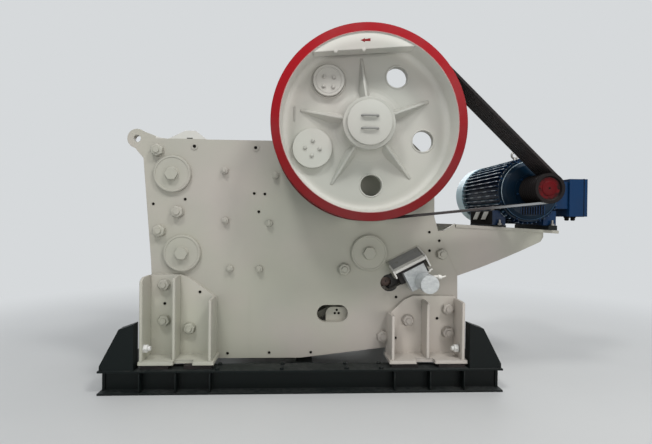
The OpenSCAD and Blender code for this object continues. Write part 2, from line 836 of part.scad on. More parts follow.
// The adjusting cylinders stand out from square blocks that bear on the wedges' ends
module wedge_cylinders() {
    y0 = -plate_out_y - shelf_reach - 20;
    middle = wedge_back + 5;
    block_low = -138;
    block_high = 47;
    cylinder_along = 30;
    cylinder_across = -100;
    color("white") on_deck() both_sides() on_toggle() {
        block([middle - adj_block_w / 2, y0, block_low],
              [middle + adj_block_w / 2, -wedge_reach - touch, block_high]);
        y_bar(adj_cyl_r, y0 - adj_cyl_len, y0 + 20, [middle + cylinder_along, cylinder_across]);
    }
}

// Rear end frame: a slanted box beam square to the toggle line, ribbed towards the rear
module rear_frame() {
    front = wedge_back + touch;
    back = front + rear_frame_d;
    high = 230;
    low = -150;
    lug_w = 180;
    lug_t = 45;
    lug_back = spring_seat;
    lug_drop = 90;
    rib_pitch = (frame_inner_w - end_rib_t) / (end_rib_n - 1);
    color(paint) on_deck() on_toggle() difference() {
        union() {
            block([front, -plate_in_y, low], [front + end_wall_t, plate_in_y, high]);
            for (z = [low, high - end_rib_t])
                block([front + weld_in, -plate_in_y, z], [back, plate_in_y, z + end_rib_t]);
            for (i = [0:end_rib_n - 1]) {
                y = -plate_in_y + i * rib_pitch;
                block([front + weld_in, y, low + weld_in], [back - 15, y + end_rib_t, high - weld_in]);
            }
            block([lug_back - lug_t, -lug_w / 2, rod_across - lug_drop], [lug_back, lug_w / 2, low + 20]);
        }
        translate([back - 2 * lug_t, 0, rod_across]) rotate([0, 90, 0])
            cylinder(r = rod_r + 3, h = 3 * lug_t);
    }
}

// Tension rod under the toggle plate, with its spring behind the rear frame
module along_rod(from) {
    on_deck() on_toggle() translate([from, 0, rod_across]) rotate([0, 90, 0]) children();
}

module tension_rod() {
    start = 20;
    tail = 60;
    color(raw_steel) along_rod(start)
        cylinder(r = rod_r, h = spring_seat + spring_len + tail - start);
}

module tension_spring() {
    color(raw_steel) along_rod(spring_seat + touch) difference() {
        cylinder(r = spring_r, h = spring_len);
        translate([0, 0, -past]) cylinder(r = rod_r + fit, h = spring_len + 2 * past);
    }
}

// Motor platform, sloping down towards its free end, and the gussets that carry it
module motor_platform() {
    color(paint) on_deck() translate([platform_x, 0, platform_h(platform_x)]) rotate([0, platform_slope, 0])
        block([0, -plate_out_y, -platform_t], [platform_len, plate_out_y, 0]);
}

// A gusset: a horn on the side plate's rear edge, the seat of the platform, and a lower edge that sags
module motor_gussets() {
    drop = platform_t / cos(platform_slope) + touch;
    clear = 5;
    ahead = [touch, 0];
    horn = gusset_mid + (gusset_top - gusset_mid) * 0.27;
    horn_w = 50;
    seat_x = platform_x - clear;
    nose_x = platform_x + platform_len - 145;
    nose_h = platform_h(nose_x) - drop;
    under_from = [nose_x - 27, nose_h - gusset_tip_h - 44];
    under_to = gusset_foot + [9, -6];
    sag = 13;
    under = [for (t = [0:0.25:1]) under_from + t * (under_to - under_from) - [0, 4 * sag * t * (1 - t)]];
    y0 = -plate_out_y + 10;
    color(paint) on_deck() both_sides() slab(concat(
        [horn + ahead, gusset_top + (gusset_mid - gusset_top) * 0.73 + [horn_w, 0],
         [seat_x, platform_h(platform_x) + clear], [seat_x, platform_h(platform_x) - drop],
         [nose_x, nose_h], [nose_x, nose_h - gusset_tip_h]],
        under, [gusset_foot + ahead, gusset_mid + ahead]
    ), y0, y0 + gusset_t);
}

// Slide rails between the platform and the motor's feet
module motor_rails() {
    rail_at = motor_foot_x - motor_foot_w / 2;
    color(paint) on_deck() for (side = [-1, 1]) let (x = motor_x + side * rail_at - rail_w / 2)
        slab([[x, platform_h(x) + touch], [x + rail_w, platform_h(x + rail_w) + touch],
              [x + rail_w, motor_feet_h - touch], [x, motor_feet_h - touch]],
             housing_y, housing_y + rail_len);
}

// Motor with fins along its length
function fin_profile(n, t, core, tip) = [
    for (i = [0:n - 1], k = [0:3])
        let (a = i * 360 / n, r = [core, tip, tip, core][k],
             b = a + (k < 2 ? -1 : 1) * asin(t / 2 / r))
        [r * cos(b), r * sin(b)]
];

module motor_housing() {
    foot_top = motor_h - 180;
    foot_end = motor_foot_y + motor_foot_len;
    color(motor_blue) on_deck() {
        translate([motor_x, cowl_y, motor_h]) rotate([90, 0, 0]) linear_extrude(motor_len)
            polygon(fin_profile(fin_n, fin_t, motor_core_r, motor_fin_r));
        for (x = [motor_x - motor_foot_x, motor_x + motor_foot_x - motor_foot_w])
            block([x, motor_foot_y, motor_feet_h], [x + motor_foot_w, foot_end, foot_top]);
    }
}

// End shield: a rim on the housing, a drum that slopes in at its edge, and the bearing cover
module motor_end_shield() {
    cover_t = 14;
    rim_t = 16;
    edge_d = 22;
    edge_w = 34;
    color(motor_blue) on_deck() translate([motor_x, housing_y, motor_h]) rotate([90, 0, 0]) rotate_extrude()
        polygon([
            [motor_shaft_r + fit, 0], [shield_rim_r, 0], [shield_rim_r, rim_t], [shield_r, rim_t],
            [shield_r, shield_len - edge_d], [shield_r - edge_w, shield_len],
            [shield_cover_r, shield_len], [shield_cover_r, shield_len + cover_t],
            [motor_shaft_r + fit, shield_len + cover_t]
        ]);
}

module motor_fan_cowl() {
    rim = 40;
    at = [motor_x, motor_h];
    color(motor_blue) on_deck() {
        y_bar(motor_fin_r + 3, cowl_y, cowl_y + cowl_len - rim, at);
        y_bar(motor_fin_r - 30, cowl_y + cowl_len - rim, cowl_y + cowl_len, at);
    }
}

// Terminal box, on a neck that comes out between the fins
module motor_terminal_box() {
    box_low = motor_h - 230;
    box_x = motor_x + box_reach - box_depth;
    neck_in = 24;
    color(motor_blue) on_deck() {
        block([motor_x + motor_fin_r + touch, motor_foot_y + neck_in, box_low + 3 * neck_in],
              [box_x + weld_in, motor_foot_y + box_w - neck_in, box_low + box_h - neck_in]);
        block([box_x, motor_foot_y, box_low], [motor_x + box_reach, motor_foot_y + box_w, box_low + box_h]);
    }
}

module motor_shaft() {
    color(raw_steel) on_deck() y_bar(motor_shaft_r, pulley_face_y + 30, housing_y - 5, [motor_x, motor_h]);
}

module motor_pulley() {
    width = pulley_back_y - pulley_face_y;
    lip = 26;
    dish = 20;
    color(rim_red) on_deck() translate([motor_x, pulley_back_y, motor_h]) rotate([90, 0, 0]) rotate_extrude()
        polygon(concat(
            [[motor_shaft_r + fit, 0], [pulley_r, 0]],
            grooves(pulley_r, width - pulley_side),
            [[pulley_r, width], [pulley_r - lip, width], [pulley_r - lip - 8, width - dish],
             [motor_shaft_r + fit, width - dish]]
        ));
}

// One belt: two arcs on the wheels and two straight runs between them
module belt_section(r) {
    polygon([[r, -belt_w / 2], [r, belt_w / 2],
             [r - belt_t, belt_bottom_w / 2], [r - belt_t, -belt_bottom_w / 2]]);
}

module belt_arc(r, from, sweep, at) {
    translate([at[0], 0, at[1]]) rotate([90, 0, 0]) rotate([0, 0, from])
        rotate_extrude(angle = sweep, $fn = 144) belt_section(r);
}

module belt_run(r, angle, at) {
    translate([at[0], 0, at[1]]) rotate([90, 0, 0]) rotate([0, 0, angle]) rotate([-90, 0, 0])
        mirror([0, 0, 1]) linear_extrude(belt_free) belt_section(r);
}

module v_belts() {
    upper = belt_tilt + 90 - belt_wrap;
    lower = belt_tilt - 90 + belt_wrap;
    big = [shaft_x, shaft_h];
    small = [motor_x, motor_h];
    color(rubber_black) on_deck() for (i = [0:belt_n - 1]) translate([0, belt_y(i), 0]) {
        belt_arc(belt_big_r, upper, 180 + 2 * belt_wrap, big);
        belt_arc(belt_small_r, lower, 180 - 2 * belt_wrap, small);
        belt_run(belt_big_r, upper, big);
        belt_run(belt_small_r, lower, small);
    }
}

// Feet: a plate on the side plate, a notched base flange and three upright ribs
module foot(x0, len, outline, rib_x, rib_tops, notch) {
    y0 = -foot_out_y;
    notch_d = 70;
    rib_in = 14;
    difference() {
        block([x0, y0, 0], [x0 + len, -plate_out_y, foot_base_t]);
        block([x0 + notch[0], y0 - past, -past], [x0 + notch[1], y0 + notch_d, foot_base_t + past]);
    }
    slab([for (p = outline) [x0 + p[0], p[1]]], -plate_out_y - foot_plate_t, -plate_out_y);
    for (i = [0:len(rib_x) - 1])
        block([x0 + rib_x[i], y0 + (i == 1 ? notch_d : rib_in), 0],
              [x0 + rib_x[i] + foot_rib_t, -plate_out_y, rib_tops[i]]);
}

module front_foot() {
    top = front_foot_h;
    color(paint) on_deck() foot(front_foot_x, front_foot_len,
        [[20, 0], [30, top - 30], [38, top - 8], [60, top], [300, top],
         [478, top - 46], [605, top - 163], [605, 0]],
        [24, 300, 584], [top - 30, top - 5, top - 200], [293, 457]);
}

module rear_foot() {
    top = rear_foot_h;
    color(paint) on_deck() foot(rear_foot_x, rear_foot_len,
        [[18, 0], [18, top - 130], [140, top], [650, top - 12], [650, 0]],
        [20, 330, 624], [top - 130, top - 5, top - 17], [235, 398]);
}

// Rubber mounts between the feet and the skid, one under each end of a foot
module rubber_mounts() {
    inset = 20;
    edge = 10;
    feet = [[front_foot_x, front_foot_len], [rear_foot_x, rear_foot_len]];
    color(rubber_black) both_sides() for (foot = feet)
        for (x = [foot[0] + inset, foot[0] + foot[1] - mount_len - inset])
            block([x, -foot_out_y + edge, beam_h], [x + mount_len, -foot_out_y + edge + mount_w, deck_z]);
}

// Skid beams of H section
module skid_beam() {
    low = -beam_y - beam_w / 2;
    high = -beam_y + beam_w / 2;
    cope = 35;
    color(black_paint) {
        block([skid_x, low, 0], [skid_x + skid_len, high, beam_flange_t]);
        block([skid_x, low, beam_h - beam_flange_t], [skid_x + skid_len, high, beam_h]);
        block([skid_x + cope, -beam_y - beam_web_t / 2, beam_flange_t],
              [skid_x + skid_len - cope, -beam_y + beam_web_t / 2, beam_h - beam_flange_t]);
    }
}

module skid_cross_beams() {
    half = beam_y - beam_w / 2;
    cross_h = beam_h - 40;
    inset = 60;
    middle = skid_x + (skid_len - cross_w) / 2;
    web_side = (cross_w - beam_web_t) / 2;
    color(black_paint) for (x = [skid_x + inset, middle, skid_x + skid_len - cross_w - inset])
        difference() {
            block([x, -half, 0], [x + cross_w, half, cross_h]);
            block([x - past, -half - past, beam_flange_t],
                  [x + web_side, half + past, cross_h - beam_flange_t]);
            block([x + cross_w - web_side, -half - past, beam_flange_t],
                  [x + cross_w + past, half + past, cross_h - beam_flange_t]);
        }
}

// End stops on the skid: upright plates that rise towards the crusher's feet
module skid_end_stops() {
    y0 = -beam_y - beam_w / 2 + 10;
    toe_h = 10;
    brow_x = 134;
    brow_drop = 43;
    front = [[0, 0], [0, toe_h], [brow_x, stop_h - brow_drop], [stop_len, stop_h], [stop_len, 0]];
    color(black_paint) both_sides() {
        slab([for (p = front) [skid_x + stop_inset + p[0], beam_h + p[1]]], y0, y0 + stop_t);
        slab([for (p = front) [skid_x + skid_len - stop_inset - p[0], beam_h + p[1]]], y0, y0 + stop_t);
    }
}

side_plate();  // side_plate_near
mirror([0, 1, 0]) side_plate();  // side_plate_far
front_frame();
rear_frame();
fixed_jaw_plate();
fixed_jaw_clamp();
cheek_plates();  // cheek_plates_near
mirror([0, 1, 0]) cheek_plates();  // cheek_plates_far
frame_pin_caps();
bearing_housing();  // bearing_housing_near
mirror([0, 1, 0]) bearing_housing();  // bearing_housing_far
eccentric_shaft();
drive_wheel();
fly_wheel();
hub_caps();
balance_discs();
swing_jaw();
swing_jaw_plate();
swing_jaw_clamp();
toggle_plate();
toggle_block();
adjusting_wedges();
wedge_brackets();
wedge_cylinders();
tension_rod();
tension_spring();
motor_platform();
motor_gussets();
motor_rails();
motor_housing();
motor_end_shield();
motor_fan_cowl();
motor_terminal_box();
motor_shaft();
motor_pulley();
v_belts();
front_foot();  // front_foot_near
mirror([0, 1, 0]) front_foot();  // front_foot_far
rear_foot();  // rear_foot_near
mirror([0, 1, 0]) rear_foot();  // rear_foot_far
rubber_mounts();
skid_beam();  // skid_beam_near
mirror([0, 1, 0]) skid_beam();  // skid_beam_far
skid_cross_beams();
skid_end_stops();
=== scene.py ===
# %% [markdown]
# # A jaw crusher on its steel skid
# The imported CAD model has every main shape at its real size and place: side plates, wheels, belts, motor
# and skid. This script dresses it. Each step says what a piece or a finish is on the real machine, how it
# could be made in Blender, and why it is made the way it is. Lengths are metres. X runs from the feed end
# to the motor end, Y across the machine with the drive side at -Y, and Z up.

# %% Load the frame
import math

import bmesh
import bpy
from mathutils import Matrix, Vector


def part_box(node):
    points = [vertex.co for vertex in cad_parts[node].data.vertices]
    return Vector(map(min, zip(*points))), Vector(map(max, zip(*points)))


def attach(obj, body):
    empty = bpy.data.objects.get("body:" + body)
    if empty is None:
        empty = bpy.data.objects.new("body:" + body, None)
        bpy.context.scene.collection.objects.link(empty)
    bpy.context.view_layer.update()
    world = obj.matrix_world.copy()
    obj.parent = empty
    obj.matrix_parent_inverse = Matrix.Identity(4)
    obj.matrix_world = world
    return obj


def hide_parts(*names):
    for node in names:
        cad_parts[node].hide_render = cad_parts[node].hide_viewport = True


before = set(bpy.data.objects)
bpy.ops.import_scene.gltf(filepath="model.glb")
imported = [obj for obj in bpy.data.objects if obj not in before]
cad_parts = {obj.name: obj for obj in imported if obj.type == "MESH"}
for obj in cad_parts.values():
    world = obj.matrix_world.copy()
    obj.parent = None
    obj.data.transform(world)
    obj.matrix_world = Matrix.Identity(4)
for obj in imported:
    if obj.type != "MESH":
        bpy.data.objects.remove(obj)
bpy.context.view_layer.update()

# %% [markdown]
# ## The camera
# The photograph was taken by someone standing some 4.4 m from the side plate, with the lens at about eye
# height. Pins, wheel and skid gave the camera's place. A camera is aimed most plainly by its three axes:
# forward comes from a small turn and tilt, and the picture is rolled by half a degree.

# %% Camera
lens_at = Vector((-0.508, -5.016, 1.486))
lens_turn, lens_tilt, lens_roll = (math.radians(degrees) for degrees in (3.1, -0.48, 0.57))
picture_width_px = 652
focal_px = 480
sensor_mm = 36


def aim_camera():
    ahead = Vector((math.sin(lens_turn) * math.cos(lens_tilt), math.cos(lens_turn) * math.cos(lens_tilt),
                    math.sin(lens_tilt)))
    level = Vector((math.cos(lens_turn), -math.sin(lens_turn), 0))
    upright = level.cross(ahead)
    right = math.cos(lens_roll) * level + math.sin(lens_roll) * upright
    up = math.cos(lens_roll) * upright - math.sin(lens_roll) * level
    data = bpy.data.cameras.new("camera")
    data.sensor_width = sensor_mm
    data.lens = sensor_mm * focal_px / picture_width_px
    data.clip_end = 200
    camera = bpy.data.objects.new("camera", data)
    bpy.context.collection.objects.link(camera)
    camera.matrix_world = Matrix.Translation(lens_at) @ Matrix((right, up, -ahead)).transposed().to_4x4()
    bpy.context.scene.camera = camera
    return camera


print("lens", round(aim_camera().data.lens, 2), "mm")

# %% [markdown]
# ## Sums on shader sockets
# A pattern such as "dust where the surface faces up, broken by noise" is a sum. Written with nodes by
# hand it takes a page. Here one small class wraps a socket, so that + - * > < on it add Math nodes, and
# one method adds any other node from its type, its settings and what goes into its sockets. The same
# classes serve material trees and Geometry Nodes trees.

# %% Sockets and trees
def math_node(operation, swapped=False):
    """A method that adds a Math node, with the wire as its first or as its second value."""
    return lambda wire, other: wire.tree.math(operation, *((other, wire) if swapped else (wire, other)))


class Wire:
    """One output of a node. Sums on it add Math nodes to its tree."""

    def __init__(self, tree, socket):
        self.tree, self.socket = tree, socket

    __add__, __radd__ = math_node("ADD"), math_node("ADD", swapped=True)
    __sub__, __rsub__ = math_node("SUBTRACT"), math_node("SUBTRACT", swapped=True)
    __mul__, __rmul__ = math_node("MULTIPLY"), math_node("MULTIPLY", swapped=True)
    __gt__, __lt__ = math_node("GREATER_THAN"), math_node("LESS_THAN")


class Tree:
    """A node tree, of a material or of Geometry Nodes."""

    def __init__(self, nodes):
        self.nodes = nodes

    def add(self, kind, settings=None, sockets=None, out=0):
        node = self.nodes.nodes.new(kind)
        for name, value in (settings or {}).items():
            setattr(node, name, value)
        for name, value in (sockets or {}).items():
            if isinstance(value, Wire):
                self.nodes.links.new(value.socket, node.inputs[name])
            else:
                node.inputs[name].default_value = value
        return Wire(self, node.outputs[out]) if len(node.outputs) else node

    def math(self, operation, a, b=0.0):
        return self.add("ShaderNodeMath", {"operation": operation}, {0: a, 1: b})

    def vector(self, operation, *vectors):
        """A number out of one or two vectors, such as a length or a dot product."""
        return self.add("ShaderNodeVectorMath", {"operation": operation}, dict(enumerate(vectors)),
                        out="Value")

    def larger(self, a, b):
        return self.math("MAXIMUM", a, b)

    def size(self, a):
        """The value without its sign."""
        return self.math("ABSOLUTE", a)

    def smooth(self, value, low, high):
        """0 below low, 1 above high, and a soft step between."""
        return self.add("ShaderNodeMapRange", {"interpolation_type": "SMOOTHSTEP"},
                        {"Value": value, "From Min": low, "From Max": high})

    def mix(self, factor, a, b):
        """Blends two colours."""
        return self.add("ShaderNodeMix", {"data_type": "RGBA"}, {0: factor, 6: a, 7: b}, out=2)

    def noise(self, where, scale, detail=3.0, rough=0.5, stretch=None):
        if stretch:
            where = self.add("ShaderNodeMapping", None, {"Vector": where, "Scale": stretch})
        return self.add("ShaderNodeTexNoise", None,
                        {"Vector": where, "Scale": scale, "Detail": detail, "Roughness": rough}, out="Fac")

    def axes(self, vector):
        """The three parts of a vector."""
        outputs = self.add("ShaderNodeSeparateXYZ", None, {0: vector}).socket.node.outputs
        return [Wire(self, output) for output in outputs]

    def around(self, where, centre):
        """Offsets in X and Z from an axis along Y, and the distance from it."""
        x, y, z = self.axes(where)
        dx, dz = x - centre.x, z - centre.z
        return dx, dz, self.math("SQRT", dx * dx + dz * dz)

    def bump(self, height, rounded, strength, distance):
        return self.add("ShaderNodeBump", None,
                        {"Strength": strength, "Distance": distance, "Height": height, "Normal": rounded})


def rgb(red, green, blue):
    """A colour as a paint card gives it, 0 to 255, in the linear values that Blender works in."""
    def linear(value):
        value /= 255
        return value / 12.92 if value <= 0.04045 else ((value + 0.055) / 1.055) ** 2.4
    return (linear(red), linear(green), linear(blue), 1.0)


def scaled(colour, factor):
    return tuple(min(1.0, factor * part) for part in colour[:3]) + (1.0,)


# %% [markdown]
# ## Thick machine paint
# Castings and plates are sprayed with one coat of off-white paint; the castings get a lighter copy of it as
# painted light. It rounds every edge a little, shows a faint orange peel, carries pale dust on top, darkens
# to a brown film in occluded corners, which is grime and painted shade, and is rubbed through to the primer
# on a few edges. The Bevel node rounds edges in shading alone, so CAD meshes keep their shape.
# What differs between two finishes is a handful of values, so one function makes them all.

# %% Painted metal
def new_material(name):
    material = bpy.data.materials.new(name)
    material.use_nodes = True
    material.node_tree.nodes.clear()
    tree = Tree(material.node_tree)
    return material, tree, tree.add("ShaderNodeTexCoord", out="Object")


def close_material(tree, shader):
    tree.add("ShaderNodeOutputMaterial", None, {"Surface": shader})


def close_principled(tree, **sockets):
    named = {name.replace("_", " "): value for name, value in sockets.items()}
    close_material(tree, tree.add("ShaderNodeBsdfPrincipled", None, named))


def surface_marks(tree, edge_radius, grime_reach):
    """Masks that follow the shape: 1 on worn edges, 1 in occluded corners (grime and painted shade), 1 on
    faces that look up.
    """
    true_normal = tree.add("ShaderNodeNewGeometry", out="Normal")
    rounded = tree.add("ShaderNodeBevel", {"samples": 4}, {"Radius": edge_radius})
    edge = tree.smooth(1 - tree.vector("DOT_PRODUCT", true_normal, rounded), 0.02, 0.25)
    open_air = tree.add("ShaderNodeAmbientOcclusion", {"samples": 4}, {"Distance": grime_reach}, out="AO")
    corner = tree.smooth(1 - open_air, 0.25, 0.9)
    up = tree.smooth(tree.axes(true_normal)[2], 0.35, 0.95)
    return rounded, edge, corner, up


grey_primer = rgb(132, 130, 124)
brown_grime_and_shade = rgb(104, 94, 80)


def painted(name, colour, primer=grey_primer, grime_and_shade=brown_grime_and_shade, dust_and_sheen=rgb(150, 144, 132), rough=0.42, cast=0.0,
            edge_radius=0.004, wear=0.5, grime_and_shade_level=0.3, dust_and_sheen_level=0.25, tone=0.06, gloss=0.35, blush=None,
            tint=None):
    """A coat of paint. Blush is a pair of colours in broad patches, and tint changes the colour by place."""
    material, tree, where = new_material(name)
    rounded, edge, corner, up = surface_marks(tree, edge_radius, 0.09)
    drift = tree.noise(where, 1.3, 4.0, 0.55)
    fleck = tree.noise(where, 38.0, 3.0, 0.6)
    if blush:
        broad = tree.smooth(tree.noise(where, 0.75, 3.0, 0.5), 0.36, 0.64)
        colour = tree.mix(0.6, colour, tree.mix(broad, blush[0], blush[1]))
    if tint:
        colour = tint(tree, where, colour)
    cooler = tree.add("ShaderNodeHueSaturation", None,
                      {"Hue": 0.5, "Saturation": 0.9, "Value": 1 - tone, "Color": colour})
    base = tree.mix(tree.smooth(drift, 0.35, 0.68), colour, cooler)
    streak = tree.noise(where, 9.0, 4.0, 0.6, (1.0, 1.0, 0.12))
    # In occluded corners the colour turns towards the corner colour: grime and painted shade.
    film = corner * grime_and_shade_level * tree.smooth(fleck + streak, 0.7, 1.25)
    base = tree.mix(film + tree.smooth(streak, 0.6, 0.86) * 0.16 * grime_and_shade_level, base, grime_and_shade)
    # Faces that look up turn towards the dust colour: real dust, and on the motor a painted sheen.
    base = tree.mix(up * dust_and_sheen_level * tree.smooth(drift + fleck, 0.7, 1.3), base, dust_and_sheen)
    rubbed = edge * wear * tree.smooth(tree.noise(where, 24.0, 5.0, 0.7), 0.52, 0.66)
    base = tree.mix(rubbed, base, primer)
    height = (tree.noise(where, 420.0, 2.0) * 0.12 * 0.25 + tree.noise(where, 5.0, 2.0) * 1.4
              + tree.noise(where, 110.0, 4.0, 0.6) * cast + rubbed * -0.25)
    close_principled(tree, Base_Color=base, Normal=tree.bump(height, rounded, 0.6, 0.0012),
                     Roughness=rough + film * 0.3 + up * dust_and_sheen_level * 0.3 + fleck * 0.10 - 0.05,
                     Specular_IOR_Level=gloss)
    return material


off_white = rgb(174, 171, 161)
# The castings' white is lighter than the plates' off-white: painted light on the same paint.
lit_casting_white = rgb(184, 181, 174)
plate_tints = (rgb(166, 168, 152), rgb(182, 172, 165))
lit_casting_tints = (rgb(178, 182, 173), rgb(190, 181, 175))
machine_paint = painted("machine_paint", off_white, blush=plate_tints)
cast_paint = painted("cast_paint", lit_casting_white, cast=0.5, rough=0.48, edge_radius=0.006,
                     blush=lit_casting_tints)
# The feet get a lighter copy of the machine paint: painted light against the shade between their ribs.
lit_foot_paint = painted("lit_foot_paint", rgb(190, 186, 175), blush=(rgb(182, 184, 168), rgb(198, 188, 180)))
fresh_white_and_highlight = painted("fresh_white_and_highlight", rgb(230, 228, 221), grime_and_shade_level=0.15)
wrapped_white = painted("wrapped_white", rgb(212, 212, 208), grime_and_shade_level=0.15)
handle_grey = painted("handle_grey", rgb(140, 140, 136), gloss=0.3)
print("paints:", [paint.name for paint in (machine_paint, cast_paint, lit_foot_paint, fresh_white_and_highlight)])

# %% [markdown]
# ## The red rim
# The face and the outer side of each wheel's rim are masked off and sprayed red. One mesh carries both
# colours, so the material measures the distance from the shaft's axis and changes colour at the rim. A
# little noise on that distance gives the edge the waver of a hand-laid tape. The belt grooves stay dark.

# %% Wheel paint with a red rim
shaft_at = Vector((0.052, 0, 2.268))
rim_inner_r, groove_floor_r, groove_top_r, rim_outer_r = 0.730, 0.777, 0.8028, 0.805
rim_face_y = 1.150
tape_width = 0.005


def red_rim(tree, where, colour):
    _, dz, radius = tree.around(where, shaft_at)
    waver = (tree.noise(where, 30.0, 2.0) - 0.5) * 0.002
    on_face = tree.size(tree.axes(where)[1]) > rim_face_y - 0.002
    inside_tape = radius + waver > rim_inner_r
    red = tree.larger(on_face * inside_tape, radius > groove_top_r)
    # The red is lighter above the shaft and darker below it: painted light and shade.
    red_lighter_above = tree.mix(tree.smooth(dz, -0.7, 0.7), rgb(110, 7, 13), rgb(152, 12, 24))
    # Near the rim the web and the rim's inner wall turn paler: painted light in place of their shade.
    shown = tree.mix(tree.smooth(radius, 0.63, 0.71) * 0.55, colour, rgb(222, 220, 212))
    shown = tree.mix(red, shown, red_lighter_above)
    tape_line = on_face * inside_tape * (radius + waver < rim_inner_r + tape_width)
    shown = tree.mix(tape_line * 0.6, shown, rgb(214, 190, 184))
    groove = (radius > groove_floor_r - 0.001) * (radius < groove_top_r) * (1 - on_face)
    return tree.mix(groove, shown, rgb(50, 48, 46))


wheel_paint = painted("wheel_paint", lit_casting_white, cast=0.45, rough=0.45, gloss=0.14, edge_radius=0.012,
                      blush=lit_casting_tints, tint=red_rim)
red_paint = painted("red_paint", rgb(126, 9, 16), rough=0.4, gloss=0.2)
print("rim red from", rim_inner_r, "to", rim_outer_r, "m")

# %% Motor pulley: red dish, dark grooves
motor_at = Vector((1.570, 0, 1.752))
pulley_dish_r = 0.092
pulley_face_y = -1.1265


def red_dish(tree, where, colour):
    _, _, radius = tree.around(where, motor_at)
    dish = (radius < pulley_dish_r) * (tree.axes(where)[1] < pulley_face_y + 0.03)
    # The dish darkens towards its edge, mottled by noise.
    darker_outwards = tree.smooth(tree.noise(where, 22.0, 4.0, 0.6) + radius * 4, 0.66, 1.0)
    return tree.mix(dish, colour, tree.mix(darker_outwards, rgb(92, 6, 12), rgb(38, 10, 12)))


pulley_paint = painted("pulley_paint", rgb(26, 22, 22), rgb(80, 76, 74), rgb(34, 28, 26), rough=0.45,
                       gloss=0.1, dust_and_sheen_level=0.15, tint=red_dish)
pulley_red = painted("pulley_red", rgb(88, 6, 12), rgb(60, 20, 22), rgb(40, 16, 16), rough=0.45, gloss=0.1,
                     tone=0.3)
print("pulley dish", round(2000 * pulley_dish_r), "mm across")

# %% [markdown]
# ## Skid and motor
# The skid is rolled beam in near-black paint, and the motor is enamelled deep blue. The tips of its fins
# show as rows of short bright dashes, painted highlights that are brightest towards -X. A sine along the
# motor, shifted a little from fin to fin, lays these dashes on the tips alone.

# %% Dark paint and blue enamel
fin_tip_r = 0.305
fin_front_y = -0.735
dashes_a_metre, dash_shift = 30, 15
skid_paint = painted("skid_paint", rgb(15, 22, 22), rgb(84, 78, 72), rgb(44, 40, 36), dust_and_sheen=rgb(76, 78, 76),
                     wear=0.6, dust_and_sheen_level=0.5, tone=0.25, gloss=0.15)


def fin_tip_highlights(tree, where, colour):
    y = tree.axes(where)[1]
    dx, dz, radius = tree.around(where, motor_at)
    tip = (radius > fin_tip_r - 0.004) * (radius < fin_tip_r + 0.001) * (y > fin_front_y)
    phase = y * dashes_a_metre + tree.math("ARCTAN2", dz, dx) * dash_shift
    dashes = tree.smooth(tree.math("SINE", phase), 0.0, 0.5)
    # The dashes are brightest on the -X side: a painted highlight.
    level = tree.smooth(-1 * dx, 0.0, 0.16) * 0.55 + 0.2
    return tree.mix(tip * (dashes * level + 0.05), colour, rgb(196, 210, 220))


def arc_highlight(tree, where, colour):
    """The end shield's edge: a painted highlight towards the upper left, blue on the rest."""
    dx, dz, _ = tree.around(where, motor_at)
    return tree.mix(tree.smooth(dz - dx * 0.7, 0.02, 0.16), colour, rgb(186, 204, 214))


enamel = {"rough": 0.34, "grime_and_shade_level": 0.9, "tone": 0.35, "gloss": 0.12, "edge_radius": 0.002}
# The motor's upward faces turn pale blue as a painted sheen, and its near-black corner colour paints the
# shade between the fins.
motor_paint = painted("motor_paint", rgb(8, 46, 82), rgb(120, 146, 162), rgb(8, 12, 16),
                      dust_and_sheen=rgb(116, 154, 176), dust_and_sheen_level=0.8, tint=fin_tip_highlights, **enamel)
# The end shield gets a darker copy of the enamel: painted shade.
shaded_shield_paint = painted("shaded_shield_paint", rgb(6, 32, 50), rgb(90, 116, 130), rgb(8, 12, 16),
                       dust_and_sheen=rgb(50, 84, 104), dust_and_sheen_level=0.35, **enamel)
# The fan cowl gets a pale copy of the enamel: a painted reflection of light.
cowl_sheen_paint = painted("cowl_sheen_paint", rgb(188, 224, 238), rgb(170, 190, 200), rgb(40, 60, 72),
                     dust_and_sheen=rgb(160, 180, 190), rough=0.3, grime_and_shade_level=0.6, dust_and_sheen_level=0.4, tone=0.2, gloss=0.3,
                     edge_radius=0.003)
shield_edge_highlight_paint = painted("shield_edge_highlight_paint", rgb(34, 68, 96), rgb(170, 190, 200), rgb(20, 34, 46), gloss=0.2,
                     tint=arc_highlight)
print("fin tips at radius", fin_tip_r)

# %% [markdown]
# ## Steel and rubber
# The working parts are bare: turned shafts, cast manganese jaws and matt rubber belts. Bare steel isn't a
# paint, so it has its own function, with fine turning lines or a cast skin, and rust in noise patches.

# %% Bare metal and rubber
def bare_metal(name, colour, rust, rough=0.36, metallic=0.85, rust_from=0.56, grain=0.4, lines=None):
    material, tree, where = new_material(name)
    rounded, edge, corner, _ = surface_marks(tree, 0.0025, 0.05)
    patches = tree.noise(where, 7.0, 6.0, 0.62)
    rusty = tree.smooth(patches + corner * 0.14, rust_from, rust_from + 0.16)
    fine = tree.noise(where, 60.0, 4.0, 0.6, lines)
    base = tree.mix(rusty, tree.mix(fine, colour, scaled(colour, 0.7)), rust)
    close_principled(tree, Base_Color=tree.mix(edge * 0.6, base, scaled(colour, 1.5)),
                     Roughness=rough + fine * 0.16 + rusty * 0.3, Metallic=metallic * (1 - rusty),
                     Normal=tree.bump(fine * grain + patches * 0.6, rounded, 0.5, 0.001))
    return material


